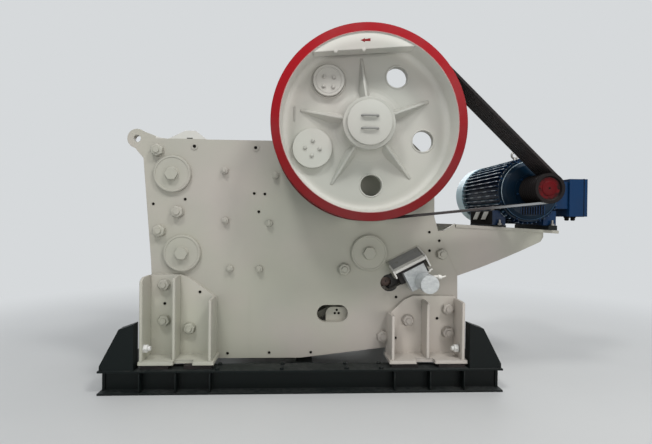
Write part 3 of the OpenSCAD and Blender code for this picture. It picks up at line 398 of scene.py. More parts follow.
def matt_rubber():
    """Belt rubber, with edges scuffed pale, which also paints highlights along them. The outer belt's side
    carries a pale painted highlight along its lower run.
    """
    material, tree, where = new_material("belt_rubber")
    rounded, edge, _, _ = surface_marks(tree, 0.003, 0.02)
    cloth = tree.noise(where, 500.0, 2.0)
    worn = tree.noise(where, 5.0, 3.0, 0.5)
    base = tree.mix(tree.smooth(worn, 0.4, 0.7), rgb(24, 20, 20), rgb(44, 37, 36))
    base = tree.mix(edge * 0.5, base, rgb(120, 112, 108))
    x, y, z = tree.axes(where)
    facing_y = tree.axes(tree.add("ShaderNodeNewGeometry", out="Normal"))[1]
    lower_run_highlight = (y < -1.115) * tree.smooth(x, 0.95, 1.35) * (z < 1.74) * tree.smooth(-1 * facing_y, 0.7, 0.95)
    close_principled(tree, Base_Color=tree.mix(lower_run_highlight * 0.55, base, rgb(160, 164, 166)),
                     Roughness=0.5 + worn * 0.2, Normal=tree.bump(cloth, rounded, 0.3, 0.0004),
                     Specular_IOR_Level=0.3)
    return material


raw_steel = bare_metal("raw_steel", rgb(150, 148, 144), rgb(104, 70, 50), lines=(1.0, 0.05, 1.0))
jaw_steel = bare_metal("jaw_steel", rgb(84, 82, 80), rgb(88, 62, 46), rough=0.55, metallic=0.5, grain=1.4)
greasy_steel_and_shade = bare_metal("greasy_steel_and_shade", rgb(40, 38, 36), rgb(50, 40, 34), rough=0.4, metallic=0.3,
                          grain=0.8)
scale_grey = bare_metal("scale_grey", rgb(158, 158, 156), rgb(128, 120, 112), rough=0.5, metallic=0.1,
                        rust_from=0.58, lines=(0.2, 1.0, 1.0))
belt_rubber = matt_rubber()
print("bare metals and rubber made")

# %% Toggle plate: a darker copy of the paint as painted shade, and a rusty roll at its rear end ringed by grease and painted shade
roll_at = Vector((0.302, 0, 0.896))
roll_r, drilled_r = 0.056, 0.007


def rusty_roll_and_shade(tree, where, colour):
    _, _, distance = tree.around(where, roll_at)
    patch = tree.noise(where, 30.0, 5.0, 0.65)
    rust = tree.mix(tree.smooth(patch, 0.35, 0.65), rgb(74, 54, 46), rgb(116, 92, 80))
    # Near the roll the plate turns near-black: grease and painted shade.
    greased_and_shaded = tree.mix(tree.smooth(distance + patch * 0.06, 0.20, 0.26), rgb(26, 24, 22), colour)
    return tree.mix(distance < drilled_r, tree.mix(distance < roll_r, greased_and_shaded, rust), rgb(16, 12, 10))


shaded_toggle_paint = painted("shaded_toggle_paint", rgb(98, 98, 86), rgb(86, 72, 60), rgb(54, 44, 36), grime_and_shade_level=0.8,
                       tint=rusty_roll_and_shade)
print("roll at", tuple(round(v, 3) for v in roll_at))

# %% [markdown]
# ## Side plates
# The side plates are the same paint with three local marks: the lug on the top edge is paler and
# has a dark notch, and a black ring of painted shade round the end of the adjuster slot makes the slot look
# wider there.

# %% Side plate paint
plate_y = -0.650
slot_end = Vector((0.317, 0, 0.897))
slot_shade_r = 0.081
lug_low_z, lug_from_x, lug_to_x = 2.183, -1.80, -1.350
notch_x, notch_z, notch_half_x, notch_half_z = -1.501, 2.188, 0.026, 0.0045


def side_plate_marks(tree, where, colour):
    x, y, z = tree.axes(where)
    _, _, distance = tree.around(where, slot_end)
    distance = distance + (tree.noise(where, 40.0, 3.0) - 0.5) * 0.006
    outside = tree.size(y) > -plate_y - 0.001
    lug = (z > lug_low_z) * (x < lug_to_x) * (x > lug_from_x)
    shown = tree.mix(lug * 0.7, colour, rgb(216, 215, 209))
    notch = (tree.size(x - notch_x) < notch_half_x) * (tree.size(z - notch_z) < notch_half_z) * outside
    # A black ring round the slot's end: painted shade.
    slot_shade = (1 - tree.smooth(distance, slot_shade_r - 0.004, slot_shade_r + 0.002)) * outside
    return tree.mix(tree.larger(slot_shade, notch), shown, rgb(18, 16, 14))


plate_paint = painted("plate_paint", off_white, blush=plate_tints, tint=side_plate_marks)
print("grease ring", round(2000 * slot_shade_r), "mm across")

# %% [markdown]
# ## Film wrap
# The adjusting cylinders leave the works wrapped in stretch film. Thin plastic over steel looks milky and
# bluish, with sharp creases that catch the light. The creases are stretched noise in the bump, which
# costs no geometry, and the sheen comes from a low roughness under a clear coat.

# %% Wrapped cylinder finish
def film_wrap():
    material, tree, where = new_material("film_wrap")
    rounded, _, corner, _ = surface_marks(tree, 0.006, 0.05)
    crease = tree.noise(where, 26.0, 6.0, 0.7, (1.0, 0.35, 1.6))
    fold = tree.size(crease - 0.5) * 2
    milky = tree.mix(tree.smooth(crease, 0.3, 0.75), rgb(188, 192, 191), rgb(162, 166, 168))
    close_principled(tree, Base_Color=tree.mix(corner * 0.5, milky, rgb(116, 118, 114)),
                     Roughness=0.28 + crease * 0.2, Coat_Weight=0.4, Coat_Roughness=0.15,
                     Normal=tree.bump(fold, rounded, 0.6, 0.003))
    return material


film = film_wrap()
print("film wrap made:", film.name)

# %% [markdown]
# ## Finishes onto the CAD nodes
# Every CAD node keeps its mesh and gets its finish in its material slots. The list says which finish
# covers which nodes, and whatever it doesn't name is machine paint.

# %% Assign the finishes
finishes = {
    plate_paint: ["side_plate_near", "side_plate_far"],
    cast_paint: ["swing_jaw", "bearing_housing_near", "bearing_housing_far", "hub_caps", "balance_discs"],
    wheel_paint: ["drive_wheel", "fly_wheel"],
    raw_steel: ["eccentric_shaft", "tension_rod", "tension_spring", "motor_shaft"],
    # On the toggle block the dark greasy steel is also painted shade.
    greasy_steel_and_shade: ["adjusting_wedges", "toggle_block"],
    shaded_toggle_paint: ["toggle_plate"],
    pulley_paint: ["motor_pulley"],
    jaw_steel: ["fixed_jaw_plate", "swing_jaw_plate", "cheek_plates_near", "cheek_plates_far"],
    film: ["wedge_cylinders"],
    belt_rubber: ["v_belts", "rubber_mounts"],
    motor_paint: ["motor_housing", "motor_terminal_box"],
    shaded_shield_paint: ["motor_end_shield"],
    cowl_sheen_paint: ["motor_fan_cowl"],
    skid_paint: ["skid_beam_near", "skid_beam_far", "skid_cross_beams", "skid_end_stops", "motor_rails"],
}
chosen = {node: finish for finish, nodes in finishes.items() for node in nodes}
for name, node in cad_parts.items():
    if not node.material_slots:
        node.data.materials.append(machine_paint)
    for slot in node.material_slots:
        slot.material = chosen.get(name, machine_paint)
print("finishes set on", len(chosen), "nodes, machine paint on the rest")

# %% [markdown]
# ## Fasteners from Geometry Nodes
# A crusher has dozens of like nuts and bolt heads. Modelling one and copying it by hand would work, but a
# change of size would mean doing it again. A Geometry Nodes tree takes a cloud of points, one for each
# fastener, and sets a washer, a hexagon with a chamfered crown and a stud on every point. Each point
# carries two attributes: which way it faces and how large it is.

# %% Growing a plain mesh from points
seed = 7
near, upward, downward = (0, -1, 0), (0, 0, 1), (0, 0, -1)


def new_growth(name, sizes):
    """A Geometry Nodes tree with a Geometry input and named sizes, and the wires of its inputs."""
    nodes = bpy.data.node_groups.new(name, "GeometryNodeTree")
    for direction in ("OUTPUT", "INPUT"):
        nodes.interface.new_socket(name="Geometry", in_out=direction, socket_type="NodeSocketGeometry")
    for size, value in sizes.items():
        kind = "NodeSocketInt" if isinstance(value, int) else "NodeSocketFloat"
        nodes.interface.new_socket(name=size, in_out="INPUT", socket_type=kind).default_value = value
    tree = Tree(nodes)
    source = nodes.nodes.new("NodeGroupInput")
    return tree, {socket.name: Wire(tree, socket) for socket in source.outputs if socket.name}


def any_between(tree, low, high):
    """A random number for every point."""
    return tree.add("FunctionNodeRandomValue", {"data_type": "FLOAT"}, {2: low, 3: high, "Seed": seed}, out=1)


def close_growth(tree, shape, finish):
    real = tree.add("GeometryNodeRealizeInstances", None, {0: shape})
    coated = tree.add("GeometryNodeSetMaterial", None, {"Geometry": real, "Material": finish})
    tree.add("NodeGroupOutput", None, {0: coated})


def keep_mesh(name, mesh, body):
    """A mesh as a piece that rides on a body, smooth but for its sharp edges."""
    mesh.polygons.foreach_set("use_smooth", [True] * len(mesh.polygons))
    mesh.set_sharp_from_angle(angle=math.radians(35))
    piece = bpy.data.objects.new(name, mesh)
    bpy.context.collection.objects.link(piece)
    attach(piece, body)
    return piece


def grow(name, tree, mesh, body, sizes=None):
    """Runs a tree over a mesh and keeps the result as a plain mesh."""
    seedling = bpy.data.objects.new(name + "_points", mesh)
    bpy.context.collection.objects.link(seedling)
    modifier = seedling.modifiers.new("growth", "NODES")
    modifier.node_group = tree.nodes
    keys = {item.name: item.identifier for item in tree.nodes.interface.items_tree if item.in_out == "INPUT"}
    for size, value in (sizes or {}).items():
        modifier[keys[size]] = value
    grown = bpy.data.meshes.new_from_object(seedling.evaluated_get(bpy.context.evaluated_depsgraph_get()))
    seedling.modifiers.clear()
    bpy.data.objects.remove(seedling)
    grown.name = name
    return keep_mesh(name, grown, body)


def scatter(name, tree, places, body, sizes=None, both_sides=True):
    """Grows a tree on loose points. Each place is a point, the way it faces and its size."""
    if both_sides:
        places = places + [((x, -y, z), (fx, -fy, fz), size) for (x, y, z), (fx, fy, fz), size in places]
    mesh = bpy.data.meshes.new(name + "_points")
    mesh.from_pydata([tuple(point) for point, facing, size in places], [], [])
    facings = mesh.attributes.new("facing", "FLOAT_VECTOR", "POINT")
    facings.data.foreach_set("vector", [part for point, facing, size in places for part in facing])
    sizes_at = mesh.attributes.new("size", "FLOAT", "POINT")
    sizes_at.data.foreach_set("value", [size for point, facing, size in places])
    return grow(name, tree, mesh, body, sizes)


# %% Hexagon heads
def standing(tree, radius_low, radius_high, low, height, sides):
    """A cone or cylinder that stands on +Z from the level low."""
    cone = tree.add("GeometryNodeMeshCone", None, {"Vertices": sides, "Radius Top": radius_high,
                                                   "Radius Bottom": radius_low, "Depth": height})
    shift = tree.add("ShaderNodeCombineXYZ", None, {"Z": low})
    return tree.add("GeometryNodeTransform", None, {"Geometry": cone, "Translation": shift})


def on_points(tree, points, shape):
    """Sets a shape on every point, turned to face the way the point says, and as large as it says."""
    facing, size = [tree.add("GeometryNodeInputNamedAttribute", {"data_type": kind}, {"Name": name})
                    for name, kind in (("facing", "FLOAT_VECTOR"), ("size", "FLOAT"))]
    turn = tree.add("FunctionNodeAlignRotationToVector", {"axis": "Z"}, {"Vector": facing})
    own_axis = tree.add("ShaderNodeCombineXYZ", None, {"Z": any_between(tree, 0.0, math.tau)})
    spun = tree.add("FunctionNodeRotateRotation", {"rotation_space": "LOCAL"},
                    {0: turn, 1: tree.add("FunctionNodeEulerToRotation", None, {0: own_axis})})
    return tree.add("GeometryNodeInstanceOnPoints", None,
                    {"Points": points, "Instance": shape, "Rotation": spun, "Scale": size})


def hexagon_tree(finish):
    """Sizes are for a head whose corners lie one metre from its axis; each point's size scales it."""
    tree, given = new_growth("hexagon_heads_" + finish.name, {
        "Washer radius": 1.06, "Washer height": 0.12, "Head height": 0.62, "Crown height": 0.1,
        "Stud radius": 0.5, "Stud height": 0.2})
    washer_r, washer_h, stud_r = given["Washer radius"], given["Washer height"], given["Stud radius"]
    crown_low = washer_h + given["Head height"]
    stud_low = crown_low + given["Crown height"]
    shapes = [standing(tree, washer_r, washer_r * 0.96, 0.0, washer_h, 32),
              standing(tree, 1.0, 1.0, washer_h, given["Head height"], 6),
              standing(tree, 1.0, 0.84, crown_low, given["Crown height"], 6),
              standing(tree, stud_r, stud_r * 0.9, stud_low, given["Stud height"], 20)]
    node = tree.nodes.nodes.new("GeometryNodeJoinGeometry")
    for shape in shapes:
        tree.nodes.links.new(shape.socket, node.inputs[0])
    close_growth(tree, on_points(tree, given["Geometry"], Wire(tree, node.outputs[0])), finish)
    return tree


def seen_on(x, z, y):
    """A place read off the photograph on the side plate, slid along the line of sight onto the plane y."""
    scale = (y - lens_at.y) / (plate_y - lens_at.y)
    return (lens_at.x + (x - lens_at.x) * scale, y, lens_at.z + (z - lens_at.z) * scale)


def facing_near(places, size, y=plate_y):
    """Fasteners or holes of one size at places in X and Z on the side plate."""
    return [((x, y, z), near, size) for x, z in places]


def on_foot(places, size):
    return [(seen_on(x, z, foot_plate_y), near, size) for x, z in places]


foot_plate_y = -0.686
frame_nuts = [(-1.781, 2.074), (-1.600, 1.528), (-1.761, 1.357), (0.258, 0.409), (-0.101, 1.022)]
cheek_nuts = [(-1.186, 1.900), (-0.733, 1.864), (-1.177, 1.455), (-0.786, 1.433), (-1.133, 1.023),
              (-0.870, 1.019)]
foot_nuts = [(-1.714, 0.877), (-1.710, 0.557), (-1.486, 0.486), (0.488, 0.555), (0.857, 0.658),
             (0.858, 0.444)]
painted_heads = hexagon_tree(machine_paint)
nut_places = facing_near(frame_nuts, 0.056) + facing_near([(0.797, 1.164)], 0.050) + on_foot(foot_nuts, 0.052)
scatter("frame_nuts", painted_heads, nut_places, "frame",
        {"Head height": 0.75, "Stud height": 0.25})
scatter("cheek_nuts", painted_heads, facing_near(cheek_nuts, 0.032), "frame",
        {"Head height": 1.0, "Stud height": 0.35})
print("nuts on each side:", len(nut_places) + len(cheek_nuts))

# %% [markdown]
# ## Tapped holes
# The side plates have empty tapped holes for guards and for lifting tackle. Cutting them into a CAD mesh
# isn't allowed, and at this size nobody sees into them. A dark disc with a thin rim of built-up paint
# round it reads as a hole from any side. Two of the holes sit in small round bosses.

# %% Holes, bosses and rims
def flat_black():
    material, tree, where = new_material("hole_shadow")
    base = tree.mix(tree.noise(where, 90.0, 3.0), rgb(12, 11, 10), rgb(30, 27, 24))
    close_principled(tree, Base_Color=base, Roughness=0.9, Specular_IOR_Level=0.1)
    return material


def disc_tree(finish):
    tree, given = new_growth("discs_" + finish.name, {"Disc height": 0.05})
    disc = standing(tree, 1.0, 0.98, 0.0, given["Disc height"], 20)
    close_growth(tree, on_points(tree, given["Geometry"], disc), finish)
    return tree


def circle(tree, sides, radius):
    return tree.add("GeometryNodeCurvePrimitiveCircle", {"mode": "RADIUS"},
                    {"Resolution": sides, "Radius": radius})


def rim_tree(finish):
    tree, given = new_growth("rims_" + finish.name, {"Rim width": 0.16})
    width = given["Rim width"]
    ring = tree.add("GeometryNodeCurveToMesh", None,
                    {"Curve": circle(tree, 24, width + 1.0), "Profile Curve": circle(tree, 6, width)})
    close_growth(tree, on_points(tree, given["Geometry"], ring), finish)
    return tree


shadow = flat_black()
dark_discs = disc_tree(shadow)
plate_holes = [(-0.923, 1.701), (-0.827, 1.697), (-0.880, 1.536), (-1.818, 1.597), (-1.537, 1.642),
               (-1.150, 0.255), (-0.776, 0.260), (-0.399, 0.261), (0.684, 1.365), (0.777, 1.286),
               (0.687, 1.194), (0.380, 0.766)]
boss_holes = [(-1.458, 2.116), (-0.913, 2.113)]
foot_holes = [(-1.711, 0.706), (-1.400, 0.810), (0.764, 0.569), (0.377, 0.389)]
boss_r, boss_height = 0.031, 0.007
hole_places = (facing_near(plate_holes, 0.0125) + facing_near(boss_holes, 0.0145, plate_y - boss_height)
               + on_foot(foot_holes, 0.0125))
scatter("hole_bosses", disc_tree(machine_paint), facing_near(boss_holes, boss_r), "frame",
        {"Disc height": boss_height / boss_r})
scatter("tapped_holes", dark_discs, hole_places, "frame")
rim_places = [(at, facing, size * 1.02) for at, facing, size in hole_places]
scatter("tapped_hole_rims", rim_tree(machine_paint), rim_places, "frame")
print("tapped holes:", len(hole_places) * 2)

# %% [markdown]
# ## Solids in mesh code
# Pieces that come once or twice are drawn directly: turned profiles, bent round bars and plates with
# broken edges. One small class collects them in a single mesh. It can copy its solids onto the far side,
# and it recalculates the normals at the end, because a mirrored solid is inside out.

# %% The shape builder
class Shape:
    """A mesh in the making: solids are added one after another and kept as one piece."""

    def __init__(self):
        self.mesh = bmesh.new()

    def loft(self, rings, closed=False):
        """Joins rings of points, each as long as the next, or a single point for a pole."""
        made = [[self.mesh.verts.new(point) for point in ring] for ring in rings]
        for low, high in list(zip(made, made[1:])) + ([(made[-1], made[0])] if closed else []):
            for i in range(max(len(low), len(high))):
                corners = [ring[k % len(ring)]
                           for ring, k in ((low, i), (low, i + 1), (high, i + 1), (high, i))]
                self.mesh.faces.new(list(dict.fromkeys(corners)))
        if not closed:
            for ring in (made[0], made[-1]):
                if len(ring) > 2:
                    self.mesh.faces.new(ring)
        return made

    def turned(self, profile, at, axis=near, sides=48, closed=False):
        """Turns a profile of (radius, height) pairs round an axis through at."""
        turn = Vector(axis).to_track_quat("Z", "Y").to_matrix()
        rings = []
        for radius, height in profile:
            steps = sides if radius > 0 else 1
            angles = [math.tau * i / steps for i in range(steps)]
            rings.append([Vector(at) + turn @ Vector((radius * math.cos(a), radius * math.sin(a), height))
                          for a in angles])
        self.loft(rings, closed)

    def bar(self, points, radius, sides=12):
        """A round bar through points, with closed ends."""
        points = [Vector(point) for point in points]
        side = (points[1] - points[0]).normalized().orthogonal().normalized()
        rings = []
        for i, point in enumerate(points):
            along = (points[min(i + 1, len(points) - 1)] - points[max(i - 1, 0)]).normalized()
            side = (side - along * side.dot(along)).normalized()
            other = along.cross(side)
            angles = [math.tau * k / sides for k in range(sides)]
            rings.append([point + radius * (math.cos(a) * side + math.sin(a) * other) for a in angles])
        self.loft(rings)

    def plate(self, outline, thickness, edge=0.0015):
        """A plate: a flat outline of points, given a thickness (a vector) and broken edges."""
        outline = [Vector(point) for point in outline]
        made = self.loft([outline, [point + Vector(thickness) for point in outline]])
        if edge:
            edges = {line for ring in made for vert in ring for line in vert.link_edges}
            bmesh.ops.bevel(self.mesh, geom=list(edges), offset=edge, segments=2, affect="EDGES",
                            clamp_overlap=True)

    def keep(self, name, finish, body, slot, both_sides=False):
        """Makes the piece, with its solids copied onto the far side if asked, and lets it ride on a body."""
        if both_sides:
            everything = self.mesh.verts[:] + self.mesh.edges[:] + self.mesh.faces[:]
            copied = bmesh.ops.duplicate(self.mesh, geom=everything)
            far = [v for v in copied["geom"] if isinstance(v, bmesh.types.BMVert)]
            bmesh.ops.scale(self.mesh, vec=(1, -1, 1), verts=far)
        bmesh.ops.recalc_face_normals(self.mesh, faces=self.mesh.faces[:])
        mesh = bpy.data.meshes.new(name)
        self.mesh.to_mesh(mesh)
        self.mesh.free()
        mesh.materials.append(finish)
        return keep_mesh(name, mesh, body)


def rectangle(x_low, x_high, z_low, z_high, y):
    return [(x_low, y, z_low), (x_high, y, z_low), (x_high, y, z_high), (x_low, y, z_high)]


def ring_of(count, radius, at, start=0.0):
    """Places on a circle in X and Z round a point."""
    x, y, z = at
    angles = [start + math.tau * i / count for i in range(count)]
    return [(x + radius * math.cos(a), y, z + radius * math.sin(a)) for a in angles]


# %% [markdown]
# ## Pin caps
# Each end of a frame pin is held by a round cap with a hexagon in its middle. The caps are CAD nodes. The
# raised rim that a lathe leaves near the edge, and the thin washer under the hexagon, are turned rings
# laid on them.

# %% Rings on the pin caps
cap_face_y = plate_y - 0.030
cap_places = [(-1.648, 1.866), (-1.558, 1.159), (0.125, 1.171)]
cap_rim = [(0.143, 0.0), (0.146, 0.004), (0.158, 0.004), (0.161, 0.0), (0.158, -0.002), (0.146, -0.002)]
cap_washer = [(0.0, -0.002), (0.062, -0.002), (0.062, 0.005), (0.059, 0.007), (0.0, 0.007)]
cap_rings = Shape()
for x, z in cap_places:
    cap_rings.turned(cap_rim, (x, cap_face_y, z), closed=True, sides=72)
    cap_rings.turned(cap_washer, (x, cap_face_y, z))
cap_rings.keep("pin_cap_rings", machine_paint, "frame", "machine_paint", both_sides=True)

# %% [markdown]
# ## Behind the window
# An oval window low in each side plate shows the toggle plate. A guard is bolted to the inside of the
# plate and covers half of the window. It has one rounded corner and three screws. It stays within the
# 50 mm between the side plate and the toggle plate.

# %% Window guards
guard_y, guard_t, corner_r = -0.5795, 0.014, 0.055
guard_left, guard_right, guard_low, guard_high = -0.262, -0.040, 0.508, 0.662
arc = [(guard_left + corner_r - corner_r * math.cos(a), guard_high - corner_r + corner_r * math.sin(a))
       for a in (math.radians(degrees) for degrees in range(0, 91, 15))]
guard_outline = arc + [(guard_right, guard_high), (guard_right, guard_low), (guard_left, guard_low)]
guard = Shape()
guard.plate([(x, guard_y, z) for x, z in guard_outline], (0, guard_t, 0), 0.003)
guard.keep("window_guards", machine_paint, "frame", "machine_paint", both_sides=True)
guard_holes = [(-0.178, 0.604), (-0.142, 0.604), (-0.160, 0.634)]
scatter("window_guard_holes", dark_discs, facing_near(guard_holes, 0.0115, guard_y - 0.0002), "frame")
print("window guard", round(guard_right - guard_left, 3), "m long")

# %% [markdown]
# ## Adjuster details
# Two wedges behind the toggle set the crusher's gap. On each side a hydraulic cylinder pushes its wedge,
# under a small roof on the side plate. The roof is left in grey mill scale, and its lip and the lugs at
# its ends are painted fresh white. Strips of dark rubber fill the gap to the ram block as painted shade, and
# two white fittings wait for their hoses. These pieces lie along the toggle line, so a helper turns its two
# coordinates into the frame's.

# %% Roof sheets, lips and strips of painted shade
toggle_turn = math.radians(27)
toggle_origin = Vector((-0.470, 0, 0.503))


def on_toggle(along, across, y):
    """A place along and across the toggle line."""
    return (toggle_origin.x + along * math.cos(toggle_turn) - across * math.sin(toggle_turn), y,
            toggle_origin.z + along * math.sin(toggle_turn) + across * math.cos(toggle_turn))


def toggle_step(along, across):
    """A move along and across the toggle line, as a vector."""
    return Vector(on_toggle(along, across, 0)) - Vector(on_toggle(0, 0, 0))


shelf_front_y, shelf_back_y = -0.800, -0.650
shelf_low, shelf_front_top, shelf_back_top = 0.068, 0.092, 0.174
rise = (shelf_back_top - shelf_front_top) / (shelf_back_y - shelf_front_y)
roof_from, roof_to = 0.9535, 1.2475
lug_rise = 0.0081


def on_roof(along_low, along_high, y_low, y_high, lift=0.0):
    """A rectangle on the sloping roof, between two distances from the side plate."""
    ends = [(along_low, y_low), (along_high, y_low), (along_high, y_high), (along_low, y_high)]
    return [Vector(on_toggle(along, shelf_front_top + lift + rise * (y - shelf_front_y), y))
            for along, y in ends]


def roof_strip(shape, y_low, y_high, thick):
    lifted = toggle_step(0, thick * 0.88) + Vector((0, -thick * 0.48, 0))
    base = toggle_step(0, 0.0002)
    shape.plate([point + base for point in on_roof(roof_from, roof_to, y_low, y_high)], lifted, thick * 0.2)


def toggle_plate(shape, along_low, along_high, low, high, y, thick, edge):
    """A plate that is upright in Y, between two places along and two across the toggle line."""
    shape.plate([on_toggle(along_low, low, y), on_toggle(along_high, low, y), on_toggle(along_high, high, y),
                 on_toggle(along_low, high, y)], (0, thick, 0), edge)


roof = Shape()
roof_strip(roof, -0.772, -0.652, 0.002)
roof.keep("adjuster_roof_sheets", scale_grey, "frame", "raw_steel", both_sides=True)

lip = Shape()
roof_strip(lip, -0.799, -0.773, 0.004)
toggle_plate(lip, 0.951, 1.250, shelf_low - 0.001, shelf_front_top + 0.001, shelf_front_y, -0.004, 0.0012)
lugs = ((0.9345, 0.9495, -0.715, 0.026), (1.2515, 1.2665, -0.655, -0.010))
for along_low, along_high, y_high, lug_low in lugs:
    lug_top = shelf_front_top + lug_rise
    lip.plate(on_roof(along_low, along_high, -0.799, y_high, lug_rise), toggle_step(0, 0.0026), 0.0008)
    toggle_plate(lip, along_low, along_high, lug_low, lug_top, shelf_front_y, -0.004, 0.0012)
lip.keep("adjuster_lips", fresh_white_and_highlight, "frame", "machine_paint", both_sides=True)

gap_shade_strips = Shape()
for along_low, along_high, low in ((1.000, 1.222, 0.0476), (1.2126, 1.228, -0.040)):
    toggle_plate(gap_shade_strips, along_low, along_high, low, 0.0675, -0.812, 0.050, 0.001)
gap_shade_strips.keep("adjuster_gap_shade_strips", belt_rubber, "frame", "belt_rubber", both_sides=True)
print("adjuster roof", round(1000 * (roof_to - roof_from)), "mm long")

# %% Cylinder bands and hose fittings
cylinder_face = on_toggle(1.1416, -0.100, -1.030)
band = [(0.0786, 0.0), (0.0802, 0.001), (0.0802, 0.016), (0.0786, 0.017), (0.0775, 0.009)]
bands = Shape()
for back in (-0.045, -0.150):
    bands.turned([(r, h + back) for r, h in band], cylinder_face, closed=True)
bands.keep("cylinder_bands", film, "frame", "pale_cylinder", both_sides=True)

stub_y, elbow_y = -0.796, -0.955
bars = [(stub_y, 0.0095, [(0.586, 1.004), (0.612, 1.011), (0.646, 1.026), (0.675, 1.043)]),
        (elbow_y, 0.010, [(0.612, 0.972), (0.636, 0.988), (0.652, 0.994), (0.692, 0.992)]),
        (elbow_y, 0.0068, [(0.706, 0.987), (0.726, 0.990), (0.746, 0.998)])]
fittings = Shape()
for y, radius, path in bars:
    fittings.bar([(x, y, z) for x, z in path], radius)
fittings.turned([(0.0, 0.0), (0.012, 0.0), (0.0125, 0.018), (0.009, 0.024), (0.0, 0.024)],
                (0.634, stub_y, 1.018), (0.95, 0, 0.31), sides=20)
coupling = [(0.0, -0.020), (0.014, -0.018), (0.019, -0.008), (0.019, 0.008), (0.014, 0.018), (0.0, 0.020)]
fittings.turned(coupling, (0.696, elbow_y, 0.989), (0.9, 0, -0.30), sides=24)
fittings.keep("hose_fittings", fresh_white_and_highlight, "frame", "pale_cylinder", both_sides=True)
print("adjuster at", tuple(round(v, 3) for v in cylinder_face))

# %% [markdown]
# ## Wheel details
# Discs of plate are screwed over two of the holes in each wheel to balance it, so every disc has four
# screws. The castings have a raised lip round each open hole. A bead of filler closes the joint between
# counterweight and rim, two tacks of weld hold the weight's lower edge, and a red arrow shows which way
# the wheel turns. All of this turns with the shaft.

# %% Screws on the balance discs
hole_pcd_r = 0.502
disc_face_y, web_face_y, weight_face_y = -0.9763, -0.930, -1.142
upper_disc, lower_disc = 131, 203
open_holes = (59, 275, 347)


def on_wheel(radius, degrees, y):
    """A place on the wheel, by its distance from the shaft and its angle from +X towards +Z."""
    return (shaft_at.x + radius * math.cos(math.radians(degrees)), y,
            shaft_at.z + radius * math.sin(math.radians(degrees)))


disc_screws = []
for degrees, spread, start, drop in ((upper_disc, 0.058, 42, 0.016), (lower_disc, 0.062, -4, 0.002)):
    x, y, z = on_wheel(hole_pcd_r, degrees, disc_face_y)
    disc_screws += [(place, near, 0.0155)
                    for place in ring_of(4, spread, (x, y, z - drop), math.radians(start))]
cast_heads = hexagon_tree(cast_paint)
scatter("balance_disc_screws", cast_heads, disc_screws, "crankshaft")
print("disc screws:", 2 * len(disc_screws))

# %% Lips, rings, tacks and a cast mark
chord_r, chord_turn = 0.590, 5
hole_lip = [(0.0902, -0.006), (0.0902, 0.002), (0.093, 0.005), (0.100, 0.005), (0.105, 0.0), (0.105, -0.006)]
disc_groove = [(0.103, -0.001), (0.1045, 0.002), (0.110, 0.002), (0.112, -0.001)]
disc_ring = [(0.1335, -0.004), (0.1335, 0.007), (0.136, 0.009), (0.143, 0.009), (0.149, 0.0), (0.149, -0.004)]
tack = [(0.0, -0.004), (0.016, -0.004), (0.017, 0.0), (0.011, 0.005), (0.0, 0.006)]
castings = Shape()
for degrees in open_holes:
    castings.turned(hole_lip, on_wheel(hole_pcd_r, degrees, web_face_y), closed=True, sides=64)
castings.turned(disc_groove, on_wheel(hole_pcd_r, upper_disc, disc_face_y), closed=True, sides=64)
castings.turned(disc_ring, on_wheel(hole_pcd_r, upper_disc, web_face_y), closed=True, sides=72)
for shift in (-0.235, -0.005):
    degrees = 90 + chord_turn - math.degrees(math.atan2(shift, chord_r))
    place = on_wheel(math.hypot(shift, chord_r - 0.001), degrees, weight_face_y + 0.002)
    castings.turned(tack, place, sides=18)
castings.plate(rectangle(-0.569, -0.557, 2.303, 2.432, web_face_y + 0.001), (0, -0.008, 0), 0.003)
casting_piece = castings.keep("wheel_castings", cast_paint, "crankshaft", "machine_paint", both_sides=True)
print("casting details:", len(casting_piece.data.polygons), "faces")

# %% Turning arrow
arrow_tip = (-0.032, 2.926)
arrow_shape = [(0.0, 0.0), (0.036, 0.017), (0.034, 0.008), (0.080, 0.012), (0.080, -0.012), (0.034, -0.008),
               (0.036, -0.017)]
arrow = Shape()
arrow.plate([(arrow_tip[0] + x, weight_face_y, arrow_tip[1] + z + 0.09 * x) for x, z in arrow_shape],
            (0, -0.0008, 0), 0)
arrow.keep("turning_arrow", red_paint, "crankshaft", "rim_paint")
print("arrow at", arrow_tip)

# %% [markdown]
# ## Hub caps
# A turned cap closes each hub, with two grab handles of bent round bar. The CAD node draws the handles
# as square bars. A turned profile with broken edges and a bar swept along a path with bent corners give
# the real ones, and they take the node's place.

# %% Caps with bent handles
hub_end_y = -1.1103
cap_r, cap_t = 0.185, 0.034
handle_half, handle_apart, handle_r, handle_reach, bend = 0.075, 0.052, 0.010, 0.020, 0.014
cap_profile = [(0.0, 0.0), (cap_r, 0.0), (cap_r, cap_t - 0.005), (cap_r - 0.0015, cap_t - 0.0015),
               (cap_r - 0.005, cap_t), (0.0, cap_t)]
caps, handles = Shape(), Shape()
caps.turned(cap_profile, (shaft_at.x, hub_end_y, shaft_at.z), sides=96)
face_y = hub_end_y - cap_t
out = face_y - handle_reach
for side in (-1, 1):
    z = shaft_at.z + side * handle_apart
    left, right = shaft_at.x - handle_half + handle_r, shaft_at.x + handle_half - handle_r
    handles.bar([(left, face_y + 0.004, z), (left, out + bend, z), (left + bend * 0.3, out + bend * 0.3, z),
                 (left + bend, out, z), (right - bend, out, z), (right - bend * 0.3, out + bend * 0.3, z),
                 (right, out + bend, z), (right, face_y + 0.004, z)], handle_r)
handles.keep("hub_handles", handle_grey, "crankshaft", "machine_paint", both_sides=True)
cap_piece = caps.keep("hub_cap_details", cast_paint, "crankshaft", "machine_paint", both_sides=True)
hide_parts("hub_caps")
print("hub caps:", len(cap_piece.data.polygons), "faces")

